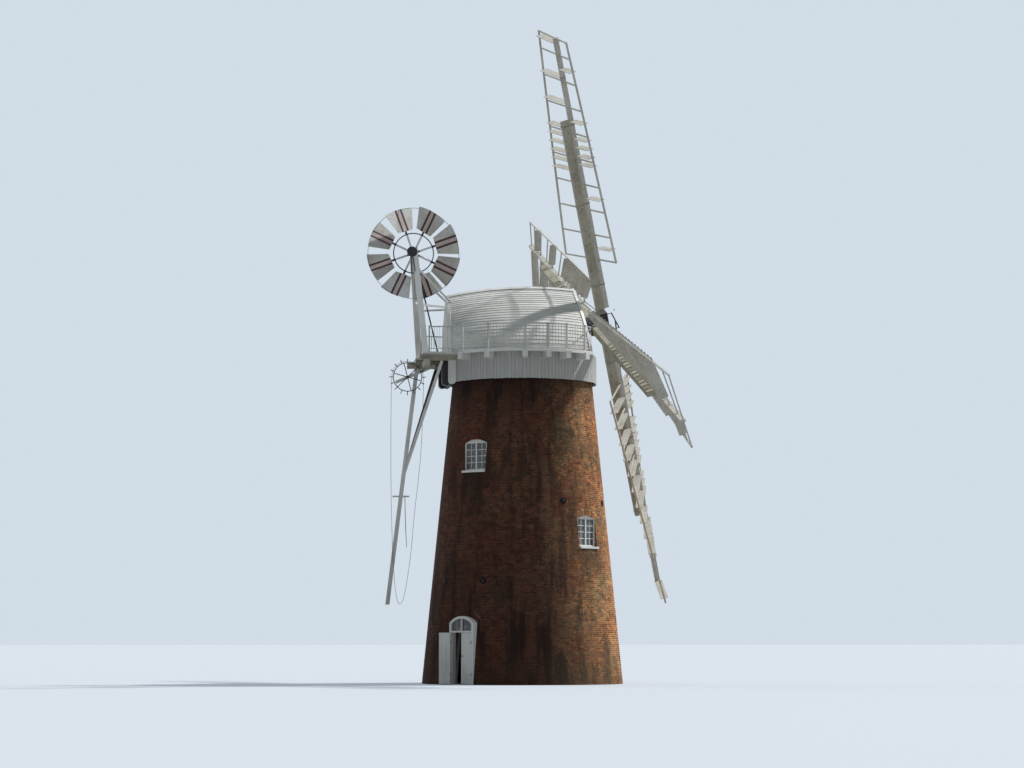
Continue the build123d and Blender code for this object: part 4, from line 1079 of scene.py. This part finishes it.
class MILL_OT_cap_boards(bpy.types.Operator):
    """Lapped boards along both sides of the cap, verge boards and the ridge capping"""

    bl_idname = "mill.cap_boards"
    bl_label = "Cap boards"

    LAP, HEAD, THICKNESS = 0.026, 0.008, 0.014
    COLUMNS = 26
    VERGE_OUT, VERGE_THICKNESS, EDGE_DEPTH = 0.046, 0.03, 0.15
    RIDGE_START, RIDGE_END = -2.02, CAP_REAR + 0.05

    def execute(self, context):
        lines = board_lines(sizes().cap_board)
        shells = {side: Shell(side) for side in (-1, 1)}
        for side, name in ((-1, "left"), (1, "right")):
            shell = shells[side]

            def place(u, v):
                share = lines[(v + 1) // 2]
                front, rear = front_line(cap_height(0) * share) - 0.04, CAP_REAR + 0.03
                return shell.point(front + u * (rear - front), share, self.HEAD if v % 2 else self.LAP)

            boards = sheet_grid(f"cap_boards_{name}", self.COLUMNS, 2 * len(lines) - 3, place)
            tones = boards.data.attributes.new("tone", "FLOAT", "FACE")
            own = [rng.random() for _ in lines]
            for face in boards.data.polygons:
                tones.data[face.index].value = own[face.index // self.COLUMNS // 2]
            thickened(boards, self.THICKNESS, outward=Vector((side, 0, 1)))
            finished(boards, "cap", "white_paint", "cap_paint", 25)

            for end, sign, width in (("front", 1, 0.11), ("rear", -1, 0.1)):

                def end_line(u):
                    return front_line(cap_height(0) * u) - FRONT_PAST if sign > 0 else CAP_REAR + REAR_PAST

                def verge(u, v):
                    return shell.point(end_line(u) + sign * (v % 2) * width, u, self.VERGE_OUT)

                def edge(u, v):
                    out = self.VERGE_OUT - 0.001 - self.EDGE_DEPTH * (v % 2)
                    return shell.point(end_line(u) - sign * 0.001, u, out)

                for kind, border, outward in (("verge", verge, (side, 0, 1)), ("edge", edge, (0, -sign, 0))):
                    board = sheet_grid(f"cap_{kind}_{end}_{name}", 24, 1, border)
                    thickened(board, self.VERGE_THICKNESS, outward=Vector(outward))
                    finished(board, "cap", "white_paint", "white_paint", 30)

        def capping(u, v):
            side, share, out = ((-1, 0.965, 0.03), (-1, 0.99, 0.045), (1, 0.99, 0.045), (1, 0.965, 0.03))[v]
            return shells[side].point(self.RIDGE_START + u * (self.RIDGE_END - self.RIDGE_START), share, out)

        ridge = thickened(sheet_grid("cap_ridge", 24, 3, capping), 0.022, 1, UP)
        finished(ridge, "cap", "white_paint", "board_paint", 40)
        return {"FINISHED"}


def section_top(across, y):
    """Height of the cap's outline above the deck at a distance from its middle."""
    width = cap_half_width(y) - 0.05
    if abs(across) >= width:
        return 0.0
    return (cap_height(y) - 0.05) * (1 - abs(across) / width) ** (1 / CAP_CURVE)


class MILL_OT_cap_ends(bpy.types.Operator):
    """Upright boards on the front and the rear of the cap"""

    bl_idname = "mill.cap_ends"
    bl_label = "Cap ends"

    PITCH, FOOT, HOLE, OUT = 0.15, 0.02, 0.28, 0.008

    def execute(self, context):
        rows = []
        count = int(2 * CAP_HALF_WIDTH / self.PITCH)
        for y, lean in ((CAP_FRONT_SECTION, CAP_FRONT_LEAN), (CAP_REAR, 0)):
            for index in range(count):
                across = (index + 0.5 - count / 2) * self.PITCH
                edges = (across - self.PITCH / 2, across + self.PITCH / 2)
                top = min(section_top(edge, y) for edge in edges) - 0.03
                spans = [(self.FOOT, top)]
                if lean and abs(across) < SHAFT_HOLE_RADIUS + self.PITCH / 2:
                    spans = [(self.FOOT, SHAFT_HOLE_HEIGHT - self.HOLE), (SHAFT_HOLE_HEIGHT + self.HOLE, top)]
                for low, high in spans:
                    if high - low < 0.1:
                        continue
                    centre = (low + high) / 2
                    face = front_line(centre) - self.OUT if lean else CAP_REAR + self.OUT
                    place = (across, face, DECK_TOP + centre)
                    rows.append(row(place, spin(-lean, "X"), (1, 1, high - low), rng.random()))
        unit = block((self.PITCH - 0.006, BOARD_THICKNESS, 1), 0.004)
        finished(copied("cap_end_boards", unit, rows), "cap", "white_paint", "board_paint")
        return {"FINISHED"}


class MILL_OT_skirt_boards(bpy.types.Operator):
    """Upright boards round the skirt, cut short under the rear beams"""

    bl_idname = "mill.skirt_boards"
    bl_label = "Skirt boards"

    OUT, GAP, PLAY, DROP, UNEVEN = 0.008, 0.009, 0.004, 0.03, 0.012
    POLE_HALF, POLE_DROP = 0.16, 0.02

    def execute(self, context):
        pitch = sizes().skirt_board
        count = round(2 * pi * SKIRT_RADIUS / pitch)
        rows = []
        for index in range(count):
            angle = 2 * pi * (index + 0.5) / count
            x, y, _ = around(SKIRT_RADIUS + self.OUT, angle)
            top = DECK_LOW - self.PLAY
            if y > 0 and abs(abs(x) - SHEER_X) < SHEER_WIDTH / 2 + 0.06:
                top = RING_HIGH - self.PLAY
            if y > 0 and abs(x) < self.POLE_HALF:
                top = RING_LOW - self.POLE_DROP
            low = SKIRT_BOTTOM - self.DROP - rng.uniform(0, self.UNEVEN)
            turn = axes((-sin(angle), cos(angle), 0), (-cos(angle), -sin(angle), 0), UP)
            rows.append(row((x, y, (low + top) / 2), turn, (1, 1, top - low), rng.random()))
        unit = block((pitch - self.GAP, BOARD_THICKNESS, 1), 0.004)
        # The skirt boards' grey is painted shade of the gallery and sails over them.
        finished(copied("skirt_boards", unit, rows), "cap", "white_paint", "skirt_paint")
        return {"FINISHED"}


class MILL_OT_brackets(bpy.types.Operator):
    """Round-ended boards under the rear beams and the dark roller boxes behind them"""

    bl_idname = "mill.brackets"
    bl_label = "Brackets"

    # Name, finish, x, y, lower end, thickness and slot
    SORTS = (
        ("bracket_boards", "board_paint", 1.0, 2.825, 11.33, 0.06, "white_paint"),
        ("roller_boxes", "black_iron", 0.62, 3.03, 11.3, 0.26, "black_iron"),
    )
    HALF = 0.15

    def execute(self, context):
        for name, finish, x, y, low, thickness, slot in self.SORTS:
            pieces = []
            for side in (-1, 1):
                piece = round_bar(self.HALF, thickness, 28)
                with editing(piece) as mesh:
                    for point in mesh.verts:
                        if point.co.y > 1e-4:
                            point.co.y = RING_HIGH - low - self.HALF
                            point.co.x = self.HALF if point.co.x > 0 else -self.HALF
                upright = axes((0, 1, 0), (0, 0, 1), (1, 0, 0))
                pieces.append(placed(piece, (side * x, y, low + self.HALF), upright))
            finished(joined(name, pieces), "cap", slot, finish, 30)
        return {"FINISHED"}


class MILL_OT_gallery(bpy.types.Operator):
    """Thin balusters, post caps, stays and edge boards of the gallery"""

    bl_idname = "mill.gallery"
    bl_label = "Gallery"

    SEGMENTS = 30
    CAP_SIZE, EDGE_THICKNESS, STAY_SIZE = (0.085, 0.085, 0.024), 0.018, 0.04

    def execute(self, context):
        s = sizes()
        low, high = UP * (DECK_TOP + LOW_RAIL_HEIGHT), UP * (DECK_TOP + RAIL_HEIGHT - RAIL_SIZE / 2)
        post_top = DECK_TOP + RAIL_HEIGHT + RAIL_SIZE / 2 + self.CAP_SIZE[2] / 2
        start, sweep = radians(-GALLERY_FRONT), radians(GALLERY_FRONT + GALLERY_REAR)
        rods, caps, edges, stays = [], [], [], []
        for side in (-1, 1):

            def ring(turn, height=0.0, radius=RAIL_RADIUS):
                return Vector((side * radius * cos(turn), radius * sin(turn), height))

            def facing(place):
                return Matrix.Rotation(atan2(place.y, place.x), 3, "Z")

            count = round(sweep * RAIL_RADIUS / s.baluster_gap)
            feet = [ring(start + sweep * index / count) for index in range(count + 1)]
            corner, post = ring(radians(GALLERY_REAR)), Vector((side * STAGE_POST[0], STAGE_POST[1], 0))
            count = round((post - corner).length / (s.baluster_gap * 0.8))
            feet += [corner.lerp(post, index / count) for index in range(1, count)]
            rods += [between(foot + low, foot + high) for foot in feet]
            for angle in POST_ANGLES:
                place = ring(-radians(angle), post_top)
                caps.append(row(place, facing(place)))
            caps.append(row(post + UP * post_top))
            radius = DECK_RADIUS + self.EDGE_THICKNESS / 2
            for index in range(self.SEGMENTS):
                place = ring(start + sweep * (index + 0.5) / self.SEGMENTS, DECK_TOP - 0.045, radius)
                edges.append(row(place, facing(place), (1, sweep / self.SEGMENTS * radius * 1.01, 1)))
            head = ring(start, DECK_TOP + RAIL_HEIGHT * 0.94)
            foot = ring(-radians(POST_ANGLES[-1]) * 0.62, DECK_TOP + 0.05)
            stays.append(between(head, foot, UP))
        pieces = [
            copied("gallery_rods", round_bar(s.baluster_radius, 1, 8), rods),
            copied("gallery_caps", block(self.CAP_SIZE, 0.006), caps),
            copied("gallery_stays", block((self.STAY_SIZE, self.STAY_SIZE, 1), 0.005), stays),
        ]
        board = block((self.EDGE_THICKNESS, 1, 0.12), 0.003)
        finished(copied("gallery_edges", board, edges), "cap", "white_paint", "white_paint")
        # The balusters' grey paint is partly painted shade.
        finished(joined("gallery_balusters", pieces), "cap", "white_paint", "rail_paint", 30)
        return {"FINISHED"}


def torus(radius, segments, wire, wire_segments, turn):
    """A ring of round wire, turned about the origin."""
    fresh()
    bpy.ops.mesh.primitive_torus_add(
        rotation=turn, major_radius=radius, major_segments=segments, minor_radius=wire,
        minor_segments=wire_segments,
    )
    return settled(bpy.context.object)


class MILL_OT_fantail(bpy.types.Operator):
    """Battens and bolts of the fan blades, the wheel's sockets and teeth, and the bracket beside it"""

    bl_idname = "mill.fantail"
    bl_label = "Fantail"

    BATTENS = (FAN_INNER + 0.08, FAN_RADIUS - 0.25)
    BOLT_SHARES = (-0.42, -0.14, 0.14, 0.42)
    SOCKETS = ((0.11, 0.16), (0.74, 0.8))
    # Ends of the bracket's strap and stay, from the fan's centre
    STRAP = ((-0.575, 0.12, -0.1), (-0.735, 0.14, -0.8))
    STAY = ((-0.585, 0.06, -0.25), (-0.73, 0, -0.8))
    HOUSING = (-0.57, 0.1, -0.02)

    def execute(self, context):
        battens, bolts, sockets, teeth = [], [], [], []
        pitch = radians(FAN_PITCH)
        for index in range(FAN_BLADES):
            turn = radians(FAN_START) + FAN_STEP * index
            along = Vector((0, sin(turn), cos(turn)))
            across = Vector((sin(pitch), cos(turn) * cos(pitch), -sin(turn) * cos(pitch)))
            normal = along.cross(across)
            for radius in self.BATTENS:
                grown = (radius - FAN_INNER) / (FAN_CORNER - FAN_INNER)
                width = FAN_ROOT_WIDTH + grown * (FAN_TIP_WIDTH - FAN_ROOT_WIDTH) - 0.02
                middle = FAN_CENTRE + along * radius
                battens.append(row(middle - normal * 0.018, axes(across, along, -normal), (width, 1, 1)))
                for share in self.BOLT_SHARES:
                    place = middle + across * (share * width) + normal * 0.0105
                    bolts.append(row(place, pointing(normal, along)))
            for low, high in self.SOCKETS:
                sockets.append(between(FAN_CENTRE + along * low, FAN_CENTRE + along * high))
        strips = copied("fan_battens", block((1, 0.06, 0.02), 0.003), battens)
        finished(strips, "fan", "white_paint", "white_paint")
        for index in range(GEAR_TEETH):
            turn = 2 * pi * index / GEAR_TEETH
            out = Vector((0, sin(turn), cos(turn)))
            place = FAN_CENTRE + Vector((GEAR_X, 0, 0)) + out * GEAR_RADIUS
            teeth.append(row(place, axes((1, 0, 0), (0, out.z, -out.y), out)))
        wire = torus(FAN_RADIUS - 0.025, 96, 0.008, 6, (0, radians(90), 0))
        wire.data.transform(Matrix.Translation(FAN_CENTRE))
        ironwork = [
            copied("fan_bolts", round_bar(0.013, 0.01, 6, 0.002), bolts),
            copied("fan_cogs", block((0.045, 0.016, 0.02), 0.003), teeth),
            copied("fan_sockets", round_bar(0.046, 1, 16, 0.004), sockets),
            wire,
        ]
        finished(joined("fan_ironwork", ironwork), "fan", "black_iron", "black_iron", 30)

        strap, stay = (
            [between(*(FAN_CENTRE + Vector(end) for end in ends))] for ends in (self.STRAP, self.STAY)
        )
        housing = round_bar(0.2, 0.06, 24, 0.012)
        parts = [
            placed(housing, FAN_CENTRE + Vector(self.HOUSING), spin(90, "Y")),
            copied("bracket_straps", block((0.04, 0.19, 1), 0.006), strap),
            copied("bracket_stays", block((0.03, 0.035, 1), 0.004), stay),
        ]
        finished(joined("fan_bracket", parts), "cap", "black_iron", "black_iron", 30)
        return {"FINISHED"}


def smooth_loop(points):
    """Places along a smooth closed line that follows the control points, back to the first."""
    curve = bpy.data.curves.new("route", "CURVE")
    curve.dimensions = "3D"
    spline = curve.splines.new("NURBS")
    spline.points.add(len(points) - 1)
    for point, place in zip(spline.points, points):
        point.co = (*place, 1)
    spline.use_cyclic_u = True
    spline.order_u = 3
    spline.resolution_u = 10
    holder = bpy.data.objects.new("route", curve)
    bpy.context.collection.objects.link(holder)
    mesh = bpy.data.meshes.new_from_object(holder)
    line = [vertex.co.copy() for vertex in mesh.vertices]
    bpy.data.objects.remove(holder)
    bpy.data.meshes.remove(mesh)
    return line + line[:1]


def chain_rows(points, pitch):
    """Rows for chain links round a closed line, each turned a quarter from the one before."""
    line = smooth_loop(points)
    total = sum((b - a).length for a, b in zip(line, line[1:]))
    count = 2 * round(total / pitch / 2)
    pitch = total / count
    rows, travelled = [], 0.0
    for a, b in zip(line, line[1:]):
        run = b - a
        while len(rows) * pitch < travelled + run.length and len(rows) < count:
            place = a + run * ((len(rows) * pitch - travelled) / run.length)
            rows.append(row(place, pointing(run, (1, 0, 0)) @ spin(45 + 90 * (len(rows) % 2), "Z")))
        travelled += run.length
    return rows


class MILL_OT_chains(bpy.types.Operator):
    """Links of the two endless chains"""

    bl_idname = "mill.chains"
    bl_label = "Chains"

    WIRE, BEND = 0.0035, 0.011

    def execute(self, context):
        outside = sizes().link_length
        reach = WHEEL_GROOVE / cos(radians(15))
        arc = [
            (WHEEL_CENTRE[0] + reach * cos(radians(turn)), WHEEL_CENTRE[1] + reach * sin(radians(turn)))
            for turn in range(0, 181, 30)
        ]
        long_line = [(CHAIN_X, y, z) for y, z in (*arc, *LONG_CHAIN)]
        for name, points in (("chain_long", long_line), ("chain_short", SHORT_CHAIN)):
            link = torus(self.BEND, 8, self.WIRE, 5, (radians(90), 0, 0))
            with editing(link, "VERT"):
                bpy.ops.mesh.select_all(action="SELECT")
                bpy.ops.transform.resize(value=(1, 1, (outside / 2 - self.WIRE) / self.BEND))
            piece = copied(f"{name}_links", link, chain_rows(points, outside - 2 * self.WIRE))
            finished(piece, "cap", "black_iron", "weathered_iron", 60, [name])
        return {"FINISHED"}


def arm_frame(index):
    """Place of one sail: x along the arm, y to the leading side and z to the front."""
    turn, tilt = radians(SAIL_TURN + 90 * index), radians(SHAFT_TILT)
    up, left = Vector((0, sin(tilt), cos(tilt))), Vector((-1, 0, 0))
    front = Vector((0, -cos(tilt), sin(tilt)))
    arm = up * cos(turn) + left * sin(turn)
    place = HUB + front * (STOCK_OFFSET if index % 2 == 0 else -STOCK_OFFSET)
    return Matrix.Translation(place) @ axes(arm, front.cross(arm), front).to_4x4()


def whip_width(radius):
    share = (radius - WHIP_START) / (SAIL_RADIUS - WHIP_START)
    return WHIP_WIDTH + share * (WHIP_TIP - WHIP_WIDTH)


def stock_width(radius):
    return STOCK_WIDTH + radius / STOCK_REACH * (STOCK_TIP - STOCK_WIDTH)


def band(width, depth, breadth, thickness):
    """Iron band round a timber that runs along x: a tube without ends, made solid."""
    piece = block((breadth, width + 0.004, depth + 0.004))
    with editing(piece) as mesh:
        pick_faces(mesh, lambda normal: abs(normal.x) > 0.9)
        bpy.ops.mesh.delete(type="FACE")
    return thickened(piece, thickness, 1)


class MILL_OT_sail_irons(bpy.types.Operator):
    """Iron bands and bolts that hold the whips to the stocks, and the poll's wedges"""

    bl_idname = "mill.sail_irons"
    bl_label = "Sail irons"

    BAND_RADII, TIP_BAND = (1.6, 4.9, 8.05), 9.9
    # Breadth and thickness of each sort of band
    STOCK_BAND, WHIP_BAND, THIN_BAND = (0.045, 0.008), (0.05, 0.008), (0.04, 0.006)
    WHIP_OUT = (STOCK_DEPTH + WHIP_DEPTH) / 2
    BOLT_OUT, BOLT = 0.018, (0.022, 0.026, 6, 0.003)
    WEDGE, WEDGE_OUT = (0.16, 0.05, STOCK_DEPTH - 0.02), 0.028

    def execute(self, context):
        pieces, bolts = [], []
        for index in range(4):
            arm = arm_frame(index)
            turn = arm.to_3x3()

            def fix(piece, place):
                pieces.append(placed(piece, arm @ Vector(place), turn))

            for radius in self.BAND_RADII:
                fix(band(stock_width(radius), STOCK_DEPTH, *self.STOCK_BAND), (radius, 0, 0))
                fix(band(whip_width(radius), WHIP_DEPTH, *self.WHIP_BAND), (radius, 0, self.WHIP_OUT))
                for out in (STOCK_DEPTH / 2 + WHIP_DEPTH + self.BOLT_OUT, -STOCK_DEPTH / 2 - self.BOLT_OUT):
                    bolts.append(row(arm @ Vector((radius, 0, out)), turn))
            tip = band(whip_width(self.TIP_BAND), WHIP_DEPTH, *self.THIN_BAND)
            fix(tip, (self.TIP_BAND, 0, self.WHIP_OUT))
            for side in (-1, 1):
                across = side * (STOCK_WIDTH / 2 + self.WEDGE_OUT)
                fix(block(self.WEDGE, 0.008), (POLL_REACH + 0.05, across, 0))
        pieces.append(copied("sail_bolts", round_bar(*self.BOLT), bolts))
        finished(joined("sail_bands", pieces), "sails", "black_iron", "painted_iron")
        return {"FINISHED"}


CAD_FINISHES = {
    "mortar_and_limewash": ("wall_base_1", "wall_base_2", "wall_base_3", "wall_over_door")
    + tuple(f"wall_upper_{index}" for index in range(1, 5)),
    "stone_floor": ("ground_floor",),
    "floor_boards": ("first_floor", "second_floor"),
    "bare_timber": ("floor_beams", "curb"),
    "sooty_iron": ("tie_plates",),
    "weathered_iron": ("chain_wheel", "chain_long", "chain_short"),
    "black_iron": (
        "door_pintles", "door_straps_left", "door_straps_right", "fan_drive_shaft", "windshaft", "poll",
        "striking_gear",
    ),
    "window_glass": ("window_glass", "fanlight_glass"),
    "cream_timber": ("cap_frame", "fan_stage"),
    "stock_paint": ("stocks",),
    # The rail's grey paint is partly painted shade.
    "rail_paint": ("gallery_rail",),
    "fan_wheel": ("fan_wheel",),
    "tail_braces": ("tail_braces",),
    "deck_boards": ("gallery_deck",),
    "fan_blades": ("fan_blades",),
    "sail_paint": tuple(f"{kind}_{index}" for kind in ("sail_frame", "shutters") for index in range(1, 5)),
    "cap_paint": ("cap_side_left", "cap_side_right"),
    "board_paint": (
        "skirt", "cap_front", "cap_rear_board", "door_leaf_left", "door_leaf_right", "gallery_joists",
        "tail_pole", "chain_wheel_beam",
    ),
    "white_paint": ("window_frames", "door_casing", "fan_posts", "fan_stays"),
}


class MILL_OT_finishes(bpy.types.Operator):
    """Finish of every piece of the frame that stays in view"""

    bl_idname = "mill.finishes"
    bl_label = "Finishes"

    def execute(self, context):
        left = set(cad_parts)
        for finish, nodes in CAD_FINISHES.items():
            for name in nodes:
                left.discard(name)
                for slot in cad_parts[name].material_slots:
                    slot.material = material(finish)
        if left:
            raise RuntimeError(f"nodes without a finish: {sorted(left)}")
        return {"FINISHED"}


def direct_view(tree):
    """1 for rays from the camera, a mirror or glass, and 0 for the ones that carry light."""
    path = tree.nodes.new("ShaderNodeLightPath")
    seen = path.outputs["Is Camera Ray"]
    for kind in ("Glossy", "Transmission"):
        either = tree.nodes.new("ShaderNodeMath")
        either.operation = "MAXIMUM"
        tree.links.new(seen, either.inputs[0])
        tree.links.new(path.outputs[f"Is {kind} Ray"], either.inputs[1])
        seen = either.outputs[0]
    return seen


def toward(heading, height):
    """Direction at a heading and a height, both in degrees."""
    return around(cos(radians(height)), radians(heading), sin(radians(height)))


class MILL_OT_stage(bpy.types.Operator):
    """Pale floor, soft lamps and the camera at the photograph's place"""

    bl_idname = "mill.stage"
    bl_label = "Stage"

    CAMERA = Vector((-100.0, 13.05, 1.65))
    HEADING, PITCH = -7.44 + 0.229, 5.56
    SENSOR, FOCAL_SHARE = 36, 2630 / 1024
    FLOOR_SIZE, FLOOR_DROP, FLOOR_GLOW = 1600, 0.002, 0.24
    SKY_COLOUR, SKY_LIGHT, SKY_SEEN = (0.8, 0.9, 1.0, 1), 0.34, 0.8
    # Name, heading, height, strength and width in the sky
    LAMPS = (("key", 281, 50, 4.1, 3), ("fill", 50, 35, 0.4, 40))

    def execute(self, context):
        fresh()
        bpy.ops.mesh.primitive_plane_add(size=self.FLOOR_SIZE, location=(0, 0, -self.FLOOR_DROP))
        floor = settled(named(bpy.context.object, "stage_floor"))
        finish = Finish("stage_floor")
        glow = finish.mix(Wire(finish, direct_view(finish.tree)), (0, 0, 0), (0.7, 0.85, 1))
        finish.set(Base_Color="stage", Roughness=0.95, Emission_Color=glow, Emission_Strength=self.FLOOR_GLOW)
        floor.data.materials.append(finish.material)

        world = bpy.data.worlds.new("studio")
        context.scene.world = world
        world.use_nodes = True
        tree = world.node_tree
        background = tree.nodes["Background"]
        background.inputs["Color"].default_value = self.SKY_COLOUR
        strength = tree.nodes.new("ShaderNodeMapRange")
        strength.inputs["To Min"].default_value = self.SKY_LIGHT
        strength.inputs["To Max"].default_value = self.SKY_SEEN
        tree.links.new(direct_view(tree), strength.inputs["Value"])
        tree.links.new(strength.outputs[0], background.inputs["Strength"])

        for name, heading, height, energy, spread in self.LAMPS:
            fresh()
            bpy.ops.object.light_add(type="SUN", location=(0, 0, 40))
            lamp = context.object
            lamp.name = lamp.data.name = f"{name}_light"
            lamp.data.energy = energy
            lamp.data.angle = radians(spread)
            lamp.rotation_euler = toward(heading, height).to_track_quat("Z", "Y").to_euler()

        fresh()
        bpy.ops.object.camera_add(location=self.CAMERA)
        camera = context.object
        camera.data.sensor_width = self.SENSOR
        camera.data.lens = self.SENSOR * self.FOCAL_SHARE
        camera.data.clip_end = 2000
        camera.rotation_euler = toward(self.HEADING, self.PITCH).to_track_quat("-Z", "Y").to_euler()
        context.scene.camera = camera
        context.scene.view_settings.view_transform = "Standard"
        return {"FINISHED"}


ORDER = (
    MILL_OT_stage,
    MILL_OT_finishes,
    MILL_OT_brickwork,
    MILL_OT_arches,
    MILL_OT_window_bars,
    MILL_OT_doorway,
    MILL_OT_tie_nuts,
    MILL_OT_cap_boards,
    MILL_OT_cap_ends,
    MILL_OT_skirt_boards,
    MILL_OT_brackets,
    MILL_OT_gallery,
    MILL_OT_fantail,
    MILL_OT_chains,
    MILL_OT_sail_irons,
)


class MILL_PT_sidebar(bpy.types.Panel):
    """Buttons for the windmill's pieces, and the sizes and colours they use"""

    bl_idname = "MILL_PT_sidebar"
    bl_label = "Windmill"
    bl_space_type = "VIEW_3D"
    bl_region_type = "UI"
    bl_category = "Windmill"

    def draw(self, context):
        layout = self.layout
        for operator in ORDER:
            layout.operator(operator.bl_idname)
        for group in (sizes(), colours()):
            box = layout.box()
            for name in group.bl_rna.properties.keys():
                if name not in ("rna_type", "name"):
                    box.prop(group, name)


CLASSES = (MillSizes, MillColours, *ORDER, MILL_PT_sidebar)


def register():
    for kind in CLASSES:
        bpy.utils.register_class(kind)
    bpy.types.Scene.mill_sizes = PointerProperty(type=MillSizes)
    bpy.types.Scene.mill_colours = PointerProperty(type=MillColours)


def unregister():
    del bpy.types.Scene.mill_colours
    del bpy.types.Scene.mill_sizes
    for kind in reversed(CLASSES):
        bpy.utils.unregister_class(kind)


def main():
    register()
    for operator in ORDER:
        group, name = operator.bl_idname.split(".")
        getattr(getattr(bpy.ops, group), name)()


if __name__ == "__main__":
    main()
